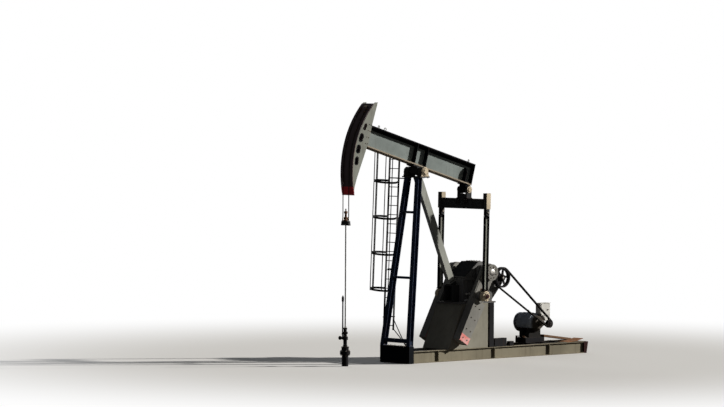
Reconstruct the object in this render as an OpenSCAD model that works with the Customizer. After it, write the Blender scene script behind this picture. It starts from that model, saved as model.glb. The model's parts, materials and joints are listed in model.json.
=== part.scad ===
// Pumpjack: a conventional crank-balanced beam pumping unit with its wellhead.
// X runs from the well to the motor, Y across the unit, Z up.
// The origin is on the ground, straight under the centre bearing of the walking beam.

/* [Linkage] */
// Height of the centre bearing above the ground
bearing_h = 5550; // [4800:10:6200]
// Radius from the centre bearing to the polished rod
head_r = 2800; // [2500:10:3000]
// Distance from the centre bearing to the tail bearing
tail_r = 2070; // [1900:10:2300]
// Slope of the walking beam at rest, head up
beam_tilt = 15.5; // [10:0.1:18]
// Crankshaft distance behind the centre bearing
crankshaft_x = 2330; // [2200:10:2500]
// Crankshaft height
crankshaft_z = 2570; // [2480:10:2700]
// Crank radius, from the shaft to the wrist pin
crank_r = 790; // [680:10:860]
// Angle of the cranks from straight down, towards the well
crank_rest = 30.5; // [20:0.1:40]

/* [Walking beam] */
// Depth of the beam section
beam_depth = 640; // [520:10:720]
// Width of the beam flanges
beam_flange_w = 320; // [240:5:360]
// Thickness of the beam flanges
beam_flange_t = 34; // [20:1:50]
// Thickness of the beam web
beam_web_t = 20; // [12:1:30]
// Height of the beam's underside above the two bearings
beam_rise = 150; // [130:5:170]
// Reach of the beam past the tail bearing
beam_back = 70; // [60:5:120]

/* [Horsehead] */
// Depth of the horsehead from the polished rod to the beam's end
head_depth = 500; // [440:10:580]
// Width of the horsehead face
head_w = 500; // [400:10:560]
// Thickness of the side plates and the curved face
head_plate_t = 16; // [10:1:24]
// Angle of the top of the face above the beam line
head_up = 30; // [27:0.1:33]
// Angle of the bottom of the face below the beam line
head_down = 28.9; // [26:0.1:31]
// Diameter of the bridle rope
rope_d = 30; // [22:1:36]
// Spacing of the two bridle ropes
rope_gap = 240; // [180:10:300]
// Height of the carrier bar's underside above the ground at rest
carrier_z = 4040; // [3600:10:4300]
// Diameter of the polished rod
rod_d = 38; // [32:1:44]

/* [Cranks and pitmans] */
// Distance of the pitman centre lines from the middle of the unit
pitman_y = 940; // [900:5:1000]
// Width of the pitman section across the unit
pitman_w = 90; // [70:5:130]
// Depth of the pitman section along the unit
pitman_d = 160; // [130:5:180]
// Inner face of the cranks from the middle
crank_in = 580; // [575:1:600]
// Outer face of the cranks from the middle
crank_out = 850; // [800:5:870]
// Length of a crank from the shaft to its tip
crank_len = 2330; // [1900:10:2400]
// Width of a crank at its tip
crank_w = 380; // [300:10:440]
// Diameter of the crankshaft
shaft_d = 220; // [160:10:260]

/* [Samson post] */
// Distance of the front feet ahead of the centre bearing
foot_x = 750; // [640:10:820]
// Half the spacing of the front feet
foot_y = 540; // [480:10:560]
// Half the spacing of the legs at the top
leg_top_y = 225; // [200:5:300]
// Width of the front leg section
leg_w = 150; // [120:5:180]
// Depth of the rear leg section
rear_leg_d = 230; // [180:5:260]

/* [Base] */
// Front end of the base ahead of the centre bearing
base_front = 830; // [830:10:950]
// Back end of the base behind the centre bearing
base_back = 6760; // [6300:10:7200]
// Height of the base runners
base_h = 345; // [300:5:400]
// Half the width of the base
base_hw = 550; // [500:5:560]
// Height of the block under the front legs
block_h = 500; // [420:10:560]

/* [Gearbox and drive] */
// Height of the gearbox feet above the ground
gearbox_z = 1700; // [1600:10:1760]
// Half the width of the gearbox
gearbox_hw = 350; // [300:5:380]
// Distance of the input shaft behind the centre bearing
sheave_x = 3120; // [3050:10:3200]
// Height of the input shaft
sheave_z = 2380; // [2300:10:2450]
// Diameter of the gearbox sheave
sheave_d = 590; // [500:10:660]
// Diameter of the motor pulley
pulley_d = 210; // [160:5:260]
// Distance of the motor shaft behind the centre bearing
motor_x = 5140; // [5000:10:5300]
// Height of the motor shaft
motor_z = 940; // [900:10:980]
// Diameter of the motor body
motor_d = 560; // [480:10:600]
// Middle plane of the belts from the middle of the unit
belt_y = 465; // [450:1:480]
// Width of the belt set
belt_w = 100; // [70:5:110]
// Thickness of the belts
belt_t = 20; // [14:1:26]

/* [Ladder and wellhead] */
// Distance of the ladder's middle from the middle of the unit
ladder_y = 875; // [870:5:920]
// Spacing of the rungs
rung_pitch = 270; // [240:5:300]
// Spacing of the ladder rails
ladder_w = 400; // [360:10:460]
// Diameter of the ladder cage
cage_d = 680; // [620:10:700]
// Height of the top of the stuffing box
well_h = 1100; // [1050:10:1300]

/* [Hidden] */
$fn = 64;

steel = "lightgrey";
dark = "dimgrey";
run_gap = 0.5;
belt_gap = 0.6;

tail_x = tail_r * cos(beam_tilt);
tail_z = bearing_h - tail_r * sin(beam_tilt);
pin_x = crankshaft_x - crank_r * sin(crank_rest);
pin_z = crankshaft_z - crank_r * cos(crank_rest);
pitman_l = norm([tail_x - pin_x, tail_z - pin_z]);
pitman_lean = atan2(tail_x - pin_x, tail_z - pin_z);

beam_front = head_r - head_depth;
face_r = head_r - rope_d / 2 - 0.3;
bridle_top = head_up - 3;
rope_y = rope_gap / 2;
bar_t = 130;

centre_shaft_d = 150;
centre_housing_r = 135;
tail_shaft_d = 130;
saddle_w = 300;
housing_in = 190;
housing_out = 380;
housing_half = 150;
cap_t = 40;
cap_z = bearing_h - centre_housing_r - cap_t;
leg_top_x = 116;

crank_gap = 35;
ped_hw = crank_in - crank_gap;
ped_top_x0 = 1435;
ped_low_x0 = 850;
ped_x1 = 2460;

eq_drop = 410;
eq_h = 300;
eq_w = 240;
eq_out = pitman_y - 65;
fork_len = 190;
fork_pin = 250;

// A flat XZ outline made into a plate between two places across the unit
module across(y0, y1) {
    translate([0, y1, 0])
        rotate([90, 0, 0])
            linear_extrude(y1 - y0)
                children();
}

// A round bar or hole across the unit
module bar_y(r, y0, y1) {
    across(y0, y1)
        circle(r);
}

// The same piece on both sides of the unit
module both_sides() {
    children();
    mirror([0, 1, 0])
        children();
}

// Frame of the walking beam: X towards the tail, Z square to the beam
module beam_frame() {
    translate([0, 0, bearing_h])
        rotate([0, beam_tilt, 0])
            children();
}

// Frame of the equalizer and pitmans: the tail bearing, with the pitmans along -Z
module pitman_frame() {
    translate([tail_x, 0, tail_z])
        rotate([0, pitman_lean, 0])
            children();
}

// Frame of the cranks: the crankshaft, with the cranks along -Z
module crank_frame() {
    translate([crankshaft_x, 0, crankshaft_z])
        rotate([0, crank_rest, 0])
            children();
}

// An I section, upright, centred on its web, standing on Y = 0
module i_section(depth, width, flange, web) {
    translate([-width / 2, 0])
        square([width, flange]);
    translate([-width / 2, depth - flange])
        square([width, flange]);
    translate([-web / 2, flange - 1])
        square([web, depth - 2 * flange + 2]);
}

// A straight I beam along X with its underside at Z = 0
module i_beam_x(x0, x1, depth, width, flange, web) {
    translate([x0, 0, 0])
        rotate([90, 0, 90])
            linear_extrude(x1 - x0)
                i_section(depth, width, flange, web);
}

// A straight H section between two points, its flanges facing the front and back
module strut(a, b, depth, w, t) {
    d = b - a;
    len = norm(d);
    yaw = atan2(d[1], d[0]);
    pitch = acos(d[2] / len);
    translate(a)
        rotate([0, pitch, yaw])
            rotate([0, 0, 90 - yaw])
                linear_extrude(len)
                    translate([0, -depth / 2])
                        i_section(depth, w, t, t);
}

// A round or polygonal bar between two points
module rod_between(a, b, r, sides = 8) {
    d = b - a;
    len = norm(d);
    yaw = atan2(d[1], d[0]);
    pitch = acos(d[2] / len);
    translate(a)
        rotate([0, pitch, yaw])
            cylinder(h = len, r = r, $fn = sides);
}

// Base

runner_w = 150;
runner_t = 18;
block_len = 190;
foot_half = 70;
block_hw = foot_y + foot_half;

module runner() {
    translate([0, base_hw - runner_w / 2, 0]) {
        i_beam_x(-base_front + block_len, base_back - 170, base_h, runner_w, runner_t, 14);
        for (x = [430, 2760, 5090])
            for (s = [-1, 1])
                translate([x - 7, s > 0 ? 6.5 : -runner_w / 2 + 2, runner_t - 1])
                    cube([14, runner_w / 2 - 8.5, base_h - 2 * runner_t + 2]);
    }
}

module base_runner_far() {
    color(steel)
        runner();
}

module base_runner_near() {
    color(steel)
        mirror([0, 1, 0])
            runner();
}

// Cross-members between the runners; the first is under the centre bearing
cross_x = [0, ped_low_x0 + 70, ped_x1 + 210, motor_x - 330, motor_x + 330, base_back - 660];

module base_crossmembers() {
    cross_w = 140;
    color(steel)
        for (x = cross_x)
            across(-base_hw + runner_w + 0.3, base_hw - runner_w - 0.3)
                translate([x, 0])
                    i_section(base_h, cross_w, 16, 12);
}

module base_front_block() {
    color(dark)
        difference() {
            translate([-base_front, -block_hw, 0])
                cube([block_len, 2 * block_hw, block_h]);
            translate([-base_front - 1, -block_hw + 30, 40])
                cube([25, 2 * block_hw - 60, block_h - 80]);
        }
}

module base_nose() {
    nose = 170;
    color(steel)
        across(-base_hw, base_hw)
            polygon([[base_back - nose, 0], [base_back - 60, 0], [base_back, base_h - 40],
                [base_back, base_h], [base_back - nose, base_h]]);
}

// Samson post

leg_top_z = cap_z;
leg_t = 16;

function leg_at(z, side) = let (f = (z - block_h) / (leg_top_z - block_h))
    [-foot_x + (foot_x - leg_top_x) * f, side * (foot_y + (leg_top_y - foot_y) * f), z];

module front_leg() {
    difference() {
        strut(leg_at(block_h - 120, 1), leg_at(leg_top_z + 120, 1), leg_w, leg_w, leg_t);
        translate([-base_front - 200, 0, -400])
            cube([1200, 1000, 400 + block_h + 20]);
        translate([-500, 0, leg_top_z])
            cube([1000, 1000, 400]);
    }
    translate([-foot_x - 78, foot_y - foot_half, block_h])
        cube([156, 2 * foot_half, 20]);
    across(foot_y + 34, foot_y + 48)
        polygon([[-foot_x - 78, block_h + 19], [-foot_x + 78, block_h + 19],
            [-foot_x + 66, block_h + 150], [-foot_x - 30, block_h + 150]]);
}

module post_front_legs() {
    color(steel)
        both_sides()
            front_leg();
}

// Height and depth of each cross girt
girts = [[650, 120], [2475, 70], [4370, 70]];

// Cross girts between the front legs, let in at the leg webs
module post_girts() {
    color(dark)
        for (g = girts) {
            y = leg_at(g[0] + g[1] / 2, 1)[1] - leg_t / 2 - 0.4;
            x = leg_at(g[0], 1)[0];
            translate([x - 35, -y, g[0] - g[1] / 2])
                cube([70, 2 * y, g[1]]);
        }
}

stool_x = 1490;
stool_z = 2200;
rear_foot = [1450, 0, 2275];
rear_top = [40, 0, leg_top_z + 70];
rear_leg_w = 130;
rear_lean = atan2(rear_top[0] - rear_foot[0], rear_top[2] - rear_foot[2]);

// The rear leg stands square on a sloping seat
module post_rear_leg() {
    color(steel)
        difference() {
            union() {
                strut(rear_foot, rear_top, rear_leg_d, rear_leg_w, leg_t);
                translate(rear_foot)
                    rotate([0, rear_lean, 0])
                        translate([-rear_leg_d / 2 - 6, -90, 0])
                            cube([rear_leg_d + 12, 180, 18]);
            }
            translate([-500, -300, leg_top_z])
                cube([1000, 600, 500]);
        }
}

module post_cap() {
    color(dark)
        translate([-195, -housing_out - 10, cap_z])
            cube([370, 2 * housing_out + 20, cap_t]);
}

module centre_housing() {
    translate([0, 0, bearing_h])
        difference() {
            union() {
                bar_y(centre_housing_r, housing_in, housing_out);
                translate([-housing_half, housing_in, -centre_housing_r])
                    cube([2 * housing_half, housing_out - housing_in, 45]);
                translate([-centre_housing_r, housing_in, -centre_housing_r])
                    cube([2 * centre_housing_r, housing_out - housing_in, centre_housing_r]);
            }
            bar_y(centre_shaft_d / 2 + run_gap, housing_in - 1, housing_out - 30);
        }
}

module centre_bearing_housings() {
    color(steel)
        both_sides()
            centre_housing();
}

// Ladder on the far side of the post

ladder_foot_z = 900;
ladder_top_z = 6150;
ladder_foot_x = -240;
ladder_top_x = -15;

function ladder_x(z) = ladder_foot_x
    + (ladder_top_x - ladder_foot_x) * (z - ladder_foot_z) / (ladder_top_z - ladder_foot_z);

rail_w = 66;
rail_t = 12;
rung_d = 24;
rung_first = 130;
tie_z = 5342;
standoff_z = [1300, 2700, tie_z];
standoff_w = 36;

// A leaning flat bar beside the rungs
module ladder_rail(y) {
    across(y - rail_t / 2, y + rail_t / 2)
        polygon([for (p = [[-1, ladder_foot_z], [1, ladder_foot_z], [1, ladder_top_z], [-1, ladder_top_z]])
            [ladder_x(p[1]) + p[0] * rail_w / 2, p[1]]]);
}

// Brackets run out from the leg and then back to the near rail
module ladder_standoff(z) {
    leg = leg_at(z - 15, 1);
    rail_y = ladder_y - ladder_w / 2;
    start_y = leg[1] + leg_t / 2 + 0.4;
    front = min(leg[0], ladder_x(z)) - standoff_w / 2;
    back = max(leg[0], ladder_x(z)) + standoff_w / 2;
    translate([leg[0] - standoff_w / 2, start_y, z - 15])
        cube([standoff_w, rail_y - start_y, 30]);
    translate([front, rail_y - standoff_w, z - 15])
        cube([back - front, standoff_w, 30]);
}

// Bar behind both rails, level with the head of the leg
module ladder_tie() {
    reach = ladder_w + rail_t / 2 + standoff_w;
    translate([ladder_x(tie_z) + rail_w / 2 - 18, ladder_y - ladder_w / 2 - standoff_w, tie_z - 15])
        cube([50, reach, 30]);
}

module ladder() {
    color(dark) {
        for (s = [-1, 1])
            ladder_rail(ladder_y + s * ladder_w / 2);
        for (z = standoff_z)
            ladder_standoff(z);
        ladder_tie();
    }
}

module ladder_rungs() {
    rungs = floor((ladder_top_z - ladder_foot_z - 200) / rung_pitch);
    half = ladder_w / 2 - rail_t / 2;
    color(dark)
        for (i = [0:rungs])
            let (z = ladder_foot_z + rung_first + i * rung_pitch)
                translate([ladder_x(z), 0, z])
                    bar_y(rung_d / 2, ladder_y - half, ladder_y + half);
}

hoop_h = 60;
hoop_t = 10;
hoop_step = 1050;
hoop_z = [for (i = [0:3]) ladder_top_z - 933 - (3 - i) * hoop_step];
hoop_tilt = 6;

// One hoop of the cage, open at the ladder and hanging lower on the near side
module cage_hoop(z) {
    r = cage_d / 2;
    half = ladder_w / 2 + rail_t / 2;
    near_drop = (half + 10) * sin(hoop_tilt);
    translate([ladder_x(z - near_drop) - rail_w / 2 - 0.3, ladder_y, z])
        rotate([hoop_tilt, 0, 0])
            intersection() {
                linear_extrude(hoop_h)
                    difference() {
                        union() {
                            translate([-r * 0.9, 0])
                                circle(r);
                            translate([-r * 0.9, -half])
                                square([r * 0.9, 2 * half]);
                        }
                        translate([-r * 0.9, 0])
                            circle(r - hoop_t);
                        translate([-r * 0.9, -half + hoop_t])
                            square([r, 2 * half - 2 * hoop_t]);
                    }
                translate([-3 * r, -2 * r, 0])
                    cube([3 * r, 4 * r, hoop_h]);
            }
}

module ladder_cage() {
    strap_r = cage_d / 2 - 4;
    start_x = -rail_w / 2 - cage_d * 0.45;
    color(dark) {
        for (z = hoop_z)
            cage_hoop(z);
        for (a = [100, 135, 180, 225, 260])
            rod_between([ladder_x(hoop_z[0]) + start_x + strap_r * cos(a),
                    ladder_y + strap_r * sin(a), hoop_z[0]],
                [ladder_x(ladder_top_z) + start_x + strap_r * cos(a),
                    ladder_y + strap_r * sin(a), ladder_top_z], 14, 6);
    }
}

// Gearbox and its pedestal

module gearbox_pedestal() {
    t = 16;
    color(steel)
        difference() {
            across(-ped_hw, ped_hw)
                polygon([[ped_low_x0, base_h], [ped_x1, base_h], [ped_x1, gearbox_z - 40],
                    [ped_top_x0, gearbox_z - 40]]);
            across(-ped_hw + t, ped_hw - t)
                polygon([[ped_low_x0 + t, base_h - 1], [ped_x1 + 1, base_h - 1],
                    [ped_x1 + 1, gearbox_z - 40 - t], [ped_top_x0 + t, gearbox_z - 40 - t]]);
        }
}

module pedestal_columns() {
    color(dark)
        both_sides()
            translate([ped_x1 + 70, ped_hw - 160, base_h])
                cube([185, 160, gearbox_z - 40 - base_h]);
}

// End of the sloping seat under the rear leg, on one side or the other
function seat_point(side) = let (s = side * (rear_leg_d / 2))
    [rear_foot[0] + s * cos(rear_lean) - 0.3 * sin(rear_lean),
        rear_foot[2] - s * sin(rear_lean) - 0.3 * cos(rear_lean)];

module rear_leg_stool() {
    color(dark) {
        difference() {
            translate([stool_x - 150, -180, gearbox_z])
                cube([270, 360, stool_z - gearbox_z]);
            translate([stool_x - 151, -150, gearbox_z + 40])
                cube([240, 300, stool_z - gearbox_z - 70]);
        }
        across(-90, 90)
            polygon([seat_point(-1), seat_point(1), [seat_point(1)[0], stool_z - 1],
                [seat_point(-1)[0], stool_z - 1]]);
    }
}

gb_x0 = stool_x + 135;
gb_x1 = sheave_x + 122;
gb_foot_x1 = 2780;
gb_split = 2380;

function gb_outline() = [[gb_x0, gearbox_z], [gb_foot_x1, gearbox_z], [gb_x1, 2200],
    [gb_x1, gb_split], [3140, 2560], [2520, 2870], [2230, 2870], [1720, 2480],
    [gb_x0, gb_split]];

module gearbox_shell(upper) {
    intersection() {
        difference() {
            union() {
                across(-gearbox_hw, gearbox_hw)
                    polygon(gb_outline());
                across(-gearbox_hw - 35, gearbox_hw + 35)
                    translate([gb_x0 - 1, gb_split - 40])
                        square([gb_x1 - gb_x0 + 2, 80]);
                translate([crankshaft_x, 0, crankshaft_z])
                    bar_y(210, -crank_in + 110, crank_in - 110);
                translate([sheave_x, 0, sheave_z])
                    bar_y(120, -gearbox_hw - 35, gearbox_hw + 35);
            }
            translate([crankshaft_x, 0, crankshaft_z])
                bar_y(shaft_d / 2 + run_gap, -1000, 1000);
            translate([sheave_x, 0, sheave_z])
                bar_y(45 + run_gap, -1000, 1000);
        }
        if (upper)
            translate([0, -1000, gb_split])
                cube([9000, 2000, 3000]);
        else
            translate([0, -1000, 0])
                cube([9000, 2000, gb_split]);
    }
}

// Upright ribs on both sides of the housing, under its shafts
gb_rib_x = [crankshaft_x - 240, crankshaft_x, crankshaft_x + 240];

module gearbox_housing() {
    color("darkslategrey") {
        gearbox_shell(false);
        both_sides()
            for (x = gb_rib_x)
                translate([x - 14, gearbox_hw - 1, gearbox_z - 1])
                    cube([28, 36, gb_split - gearbox_z - 30]);
        translate([gb_x0 - 250, -ped_hw, gearbox_z - 40])
            cube([gb_foot_x1 - gb_x0 + 250, 2 * ped_hw, 40]);
    }
}

module gearbox_cover() {
    color("darkslategrey")
        gearbox_shell(true);
}

// Motor and belts

motor_y0 = -200;
motor_front = 100;
motor_back = 740;
motor_y1 = 830;
bell_y = -80;
bell_r = 170;
slide_z = base_h + 150;
motor_foot_y = [130, 430];

module motor_body() {
    r = motor_d / 2;
    color("slategrey") {
        difference() {
            translate([motor_x, 0, motor_z]) {
                bar_y(r, motor_front, motor_back);
                bar_y(90, motor_y0, bell_y + 1);
                translate([0, bell_y, 0])
                    rotate([-90, 0, 0])
                        cylinder(h = motor_front - bell_y + 1, r1 = bell_r, r2 = r - 4);
                translate([0, motor_back - 1, 0])
                    rotate([-90, 0, 0])
                        cylinder(h = motor_y1 - motor_back + 1, r1 = r - 4, r2 = r - 70);
            }
            translate([motor_x, 0, motor_z])
                bar_y(27.5 + run_gap, motor_y0 - 1, motor_y0 + 140);
        }
        for (y = motor_foot_y)
            translate([motor_x - 250, y, slide_z])
                cube([500, 100, motor_z - slide_z - 180]);
    }
}

module motor_terminal_box() {
    color("white")
        difference() {
            translate([motor_x + 60, motor_front - 150, motor_z + 50])
                cube([410, 200, 530]);
            translate([motor_x, 0, motor_z])
                bar_y(motor_d / 2 + 0.3, motor_y0 - 1, motor_y1);
        }
}

// Slide rails under the motor, and two low blocks on the near runner ahead of it
module motor_rails() {
    color(dark) {
        for (y = motor_foot_y)
            translate([motor_x - 400, y - 20, base_h])
                cube([800, 140, slide_z - base_h]);
        for (b = [[ped_x1 + 310, 500, 250], [ped_x1 + 950, 160, 140]])
            translate([b[0], -base_hw + 20, base_h])
                cube([b[1], 130, b[2]]);
    }
}

// A board across the base and a plate on the near runner, behind the motor
module motor_plank() {
    color("saddlebrown") {
        translate([motor_x + 480, -base_hw + 40, base_h])
            cube([200, 2 * base_hw - 80, 110]);
        translate([motor_x + 760, -base_hw + 20, base_h])
            cube([620, 340, 40]);
    }
}

function belt_reach() = norm([motor_x - sheave_x, motor_z - sheave_z]);

// Points of an arc round (cx, 0)
function arc_about(cx, r, a0, a1, n) = [for (i = [0:n]) let (a = a0 + (a1 - a0) * i / n)
    [cx + r * cos(a), r * sin(a)]];

// Outline round both pulleys, at a distance from their rims
module belt_outline(extra) {
    r1 = sheave_d / 2 + extra;
    r2 = pulley_d / 2 + extra;
    d = belt_reach();
    a = acos((r1 - r2) / d);
    lean = atan2(motor_z - sheave_z, motor_x - sheave_x);
    translate([sheave_x, sheave_z])
        rotate(lean)
            polygon(concat(arc_about(0, r1, a, 360 - a, 48), arc_about(d, r2, -a, a, 24)));
}

module drive_belts() {
    color("black")
        for (i = [0:3])
            across(-belt_y - belt_w / 2 + i * belt_w / 4 + 1, -belt_y - belt_w / 2 + (i + 1) * belt_w / 4 - 1)
                difference() {
                    belt_outline(belt_t + belt_gap);
                    belt_outline(belt_gap);
                }
}

module gearbox_sheave() {
    w = belt_w / 2 + 8;
    color(dark)
        translate([sheave_x, 0, sheave_z])
            difference() {
                union() {
                    across(-belt_y - w, -belt_y + w)
                        difference() {
                            circle(sheave_d / 2, $fn = 96);
                            circle(sheave_d / 2 - 45, $fn = 96);
                        }
                    bar_y(90, -belt_y - w, -belt_y + w);
                    for (i = [0:4])
                        rotate([0, 72 * i + 10, 0])
                            across(-belt_y - 18, -belt_y + 18)
                                polygon([[-40, 60], [40, 60], [24, sheave_d / 2 - 30],
                                    [-24, sheave_d / 2 - 30]]);
                }
                bar_y(40, -1000, 0);
            }
}

module input_shaft() {
    color(steel)
        translate([sheave_x, 0, sheave_z]) {
            bar_y(40, -belt_y - belt_w / 2 - 20, gearbox_hw + 160);
            bar_y(45, -gearbox_hw + 10, gearbox_hw + 45);
            difference() {
                bar_y(190, gearbox_hw + 60, gearbox_hw + 150);
                bar_y(165, gearbox_hw + 80, gearbox_hw + 151);
            }
        }
}

module motor_pulley() {
    w = belt_w / 2 + 8;
    color(dark)
        translate([motor_x, 0, motor_z]) {
            bar_y(pulley_d / 2, -belt_y - w, -belt_y + w);
            bar_y(27.5, -belt_y, motor_y0 + 120);
        }
}

// Wellhead

well_bore = rod_d + 3;

module well_round(r, z0, z1) {
    translate([-head_r, 0, z0])
        cylinder(h = z1 - z0, r = r);
}

module well_hole() {
    translate([-head_r, 0, -1])
        cylinder(h = well_h + 100, r = well_bore / 2);
}

well_head_z = 560;
well_tee_z = 860;
outlet_z = 800;
riser_y = 105;
riser_top = 2020;

module casing_head() {
    color("black")
        difference() {
            union() {
                well_round(95, 0, 380);
                well_round(150, 340, 383);
                well_round(150, 387, 430);
                well_round(105, 370, well_head_z);
            }
            well_hole();
        }
}

// Tee with its outlet and the gauge riser on the far side
module pumping_tee() {
    color("black")
        difference() {
            union() {
                well_round(55, well_head_z + 0.3, well_tee_z);
                well_round(80, outlet_z - 45, outlet_z + 45);
                translate([-head_r, 0, outlet_z])
                    bar_y(38, 0, 220);
                translate([-head_r, riser_y, outlet_z]) {
                    cylinder(h = riser_top - outlet_z, r = 20);
                    translate([0, 0, riser_top - outlet_z - 150])
                        cylinder(h = 110, r = 34);
                }
            }
            well_hole();
        }
}

module stuffing_box() {
    color("black")
        difference() {
            union() {
                well_round(45, well_tee_z + 0.3, well_h);
                well_round(66, well_tee_z + 60, well_tee_z + 130);
                well_round(58, well_h - 45, well_h);
            }
            well_hole();
        }
}

// Walking beam and horsehead

module walking_beam() {
    color(steel)
        beam_frame()
            translate([0, 0, beam_rise])
                i_beam_x(-beam_front, tail_r + beam_back, beam_depth, beam_flange_w,
                    beam_flange_t, beam_web_t);
}

saddle_half = 290;

// Full stiffeners over the saddle, and a shorter one with a sloped top ahead of the tail bearing
module beam_stiffeners() {
    w = beam_flange_w / 2 - beam_web_t / 2 - 8;
    inner = beam_depth - 2 * beam_flange_t - 0.6;
    low = beam_rise + beam_flange_t + 0.3;
    color(dark)
        beam_frame()
            both_sides() {
                for (u = [-saddle_half + 30, saddle_half - 100])
                    translate([u - 10, beam_web_t / 2 + 0.3, low])
                        cube([20, w, inner]);
                translate([tail_r - 190, beam_web_t / 2 + 0.3, low])
                    rotate([90, 0, 90])
                        linear_extrude(20)
                            polygon([[0, 0], [w, 0], [w, inner * 0.55], [w * 0.8, inner * 0.68],
                                [w * 0.4, inner * 0.75], [0, inner * 0.75]]);
            }
}

module beam_saddle() {
    color(dark)
        beam_frame()
            difference() {
                union() {
                    translate([-saddle_half, -saddle_w / 2, beam_rise - 35.3])
                        cube([2 * saddle_half, saddle_w, 35]);
                    across(-saddle_w / 2, saddle_w / 2)
                        polygon([[-120, beam_rise - 36], [120, beam_rise - 36], [105, -20],
                            [0, -110], [-105, -20]]);
                    bar_y(centre_shaft_d / 2 + 35, -saddle_w / 2, saddle_w / 2);
                }
                bar_y(centre_shaft_d / 2, -saddle_w, saddle_w);
            }
}

module centre_shaft() {
    color(steel)
        beam_frame()
            bar_y(centre_shaft_d / 2, -housing_out + 35, housing_out - 35);
}

function arc_pts(r, a0, a1, n) = [for (i = [0:n]) let (a = a0 + (a1 - a0) * i / n)
    [-r * cos(a), r * sin(a)]];

// Back edge of the side plates below the beam, in the beam's frame
head_back = [[-beam_front - 20, beam_rise - 5], [-beam_front - 95, -370],
    [-beam_front - 165, -840], [-beam_front - 180, -1120]];

// Outline of a side plate, in the beam's frame; the front runs past the face
module head_outline() {
    polygon(concat([[-face_r * cos(head_up) + 150, face_r * sin(head_up) + 75]],
        [[-beam_front, beam_rise + beam_depth + 5]],
        [[-beam_front, beam_rise - 5]],
        head_back,
        [[-face_r * cos(head_down) - 30, -face_r * sin(head_down) + 90]],
        arc_pts(face_r * 1.03, -head_down, head_up - 1, 8)));
}

module head_side_2d() {
    difference() {
        intersection() {
            head_outline();
            circle(face_r - head_plate_t, $fn = 180);
        }
        for (a = [-8, -0.5, 7, 14.5])
            rotate(-a)
                translate([-face_r + 150, 0])
                    hull() {
                        translate([0, 50])
                            circle(50, $fn = 24);
                        translate([0, -50])
                            circle(50, $fn = 24);
                    }
    }
}

head_side_y = head_w / 2 - 6;
head_in = head_side_y - head_plate_t - 0.3;

module horsehead_sides() {
    color(steel)
        beam_frame()
            both_sides()
                across(head_side_y - head_plate_t, head_side_y)
                    head_side_2d();
}

module horsehead_face() {
    color(dark)
        beam_frame() {
            across(-head_w / 2, head_w / 2)
                intersection() {
                    difference() {
                        circle(face_r, $fn = 180);
                        circle(face_r - head_plate_t, $fn = 180);
                    }
                    polygon(concat([[0, 0]], arc_pts(face_r * 1.05, -head_down, head_up, 8)));
                }
            for (a = [-15, 0, 15])
                rotate([0, a, 0])
                    translate([-face_r + 10, -head_in, -8])
                        cube([120, 2 * head_in, 16]);
            translate([-beam_front - 24, -head_in, beam_rise - 10])
                cube([24, 2 * head_in, beam_depth + 60]);
            across(-head_in, head_in)
                polygon(concat(head_back, [for (i = [0:3]) head_back[3 - i] + [-14, 0]]));
        }
}

module tail_bracket() {
    color(dark)
        beam_frame() {
            translate([tail_r, 0, 0])
                difference() {
                    union() {
                        translate([-210, -130, beam_rise - 30.3])
                            cube([210 + beam_back, 260, 30]);
                        across(-130, 130)
                            polygon([[-120, beam_rise - 31], [beam_back, beam_rise - 31], [80, -40],
                                [-80, -40]]);
                        bar_y(tail_shaft_d / 2 + 35, -130, 130);
                    }
                    bar_y(tail_shaft_d / 2 + run_gap, -500, 500);
                }
            translate([tail_r + beam_back + 0.3, -beam_flange_w / 2, beam_rise])
                cube([22, beam_flange_w, beam_depth]);
        }
}

module bridle_wrap() {
    color("black")
        beam_frame()
            for (s = [-1, 1])
                translate([0, s * rope_y, 0])
                    rotate([90, 0, 0])
                        rotate([0, 0, 180 - bridle_top])
                            rotate_extrude(angle = bridle_top + beam_tilt, $fn = 120)
                                translate([head_r, 0])
                                    circle(rope_d / 2, $fn = 16);
}

// Equalizer and pitmans

module equalizer_bearing() {
    color(dark)
        pitman_frame() {
            bar_y(tail_shaft_d / 2, -215, 215);
            translate([-100, -141, -eq_drop + eq_h / 2 + 0.3])
                cube([200, 282, eq_drop - eq_h / 2 - 0.3 - tail_shaft_d / 2 - 60]);
            both_sides()
                difference() {
                    across(140, 200)
                        union() {
                            circle(110);
                            translate([-100, -eq_drop + eq_h / 2 + 0.3])
                                square([200, eq_drop - eq_h / 2 - 0.3]);
                        }
                    bar_y(tail_shaft_d / 2, 100, 300);
                }
        }
}

module equalizer_beam() {
    color(dark)
        pitman_frame()
            translate([0, 0, -eq_drop]) {
                difference() {
                    translate([-eq_w / 2, -eq_out, -eq_h / 2])
                        cube([eq_w, 2 * eq_out, eq_h]);
                    for (s = [-1, 1])
                        translate([s * (eq_w / 2 - 25) - (s > 0 ? 0 : 60), -eq_out + 40, -eq_h / 2 + 28])
                            cube([60, 2 * eq_out - 80, eq_h - 56]);
                }
                both_sides() {
                    translate([-85, eq_out - 1, -eq_h / 2])
                        cube([170, 131, eq_h + 170]);
                    for (s = [-1, 1])
                        translate([-60, pitman_y + s * 49 - 13, -eq_h / 2 - fork_len])
                            cube([120, 26, fork_len + 1]);
                    translate([0, 0, -fork_pin])
                        bar_y(25, pitman_y - 62, pitman_y + 62);
                }
            }
}

module pitmans() {
    eye_top = -eq_drop - eq_h / 2 - 2;
    eye_low = eye_top - fork_len - 8;
    color(steel)
        pitman_frame()
            both_sides() {
                translate([pitman_d / 2, pitman_y, -pitman_l + 150])
                    linear_extrude(pitman_l - 150 + eye_low + 1)
                        rotate(90)
                            i_section(pitman_d, pitman_w, 14, 12);
                difference() {
                    translate([-60, pitman_y - 34, eye_low])
                        cube([120, 68, eye_top - eye_low]);
                    translate([0, 0, -eq_drop - fork_pin])
                        bar_y(25.3, pitman_y - 60, pitman_y + 60);
                }
            }
}

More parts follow.
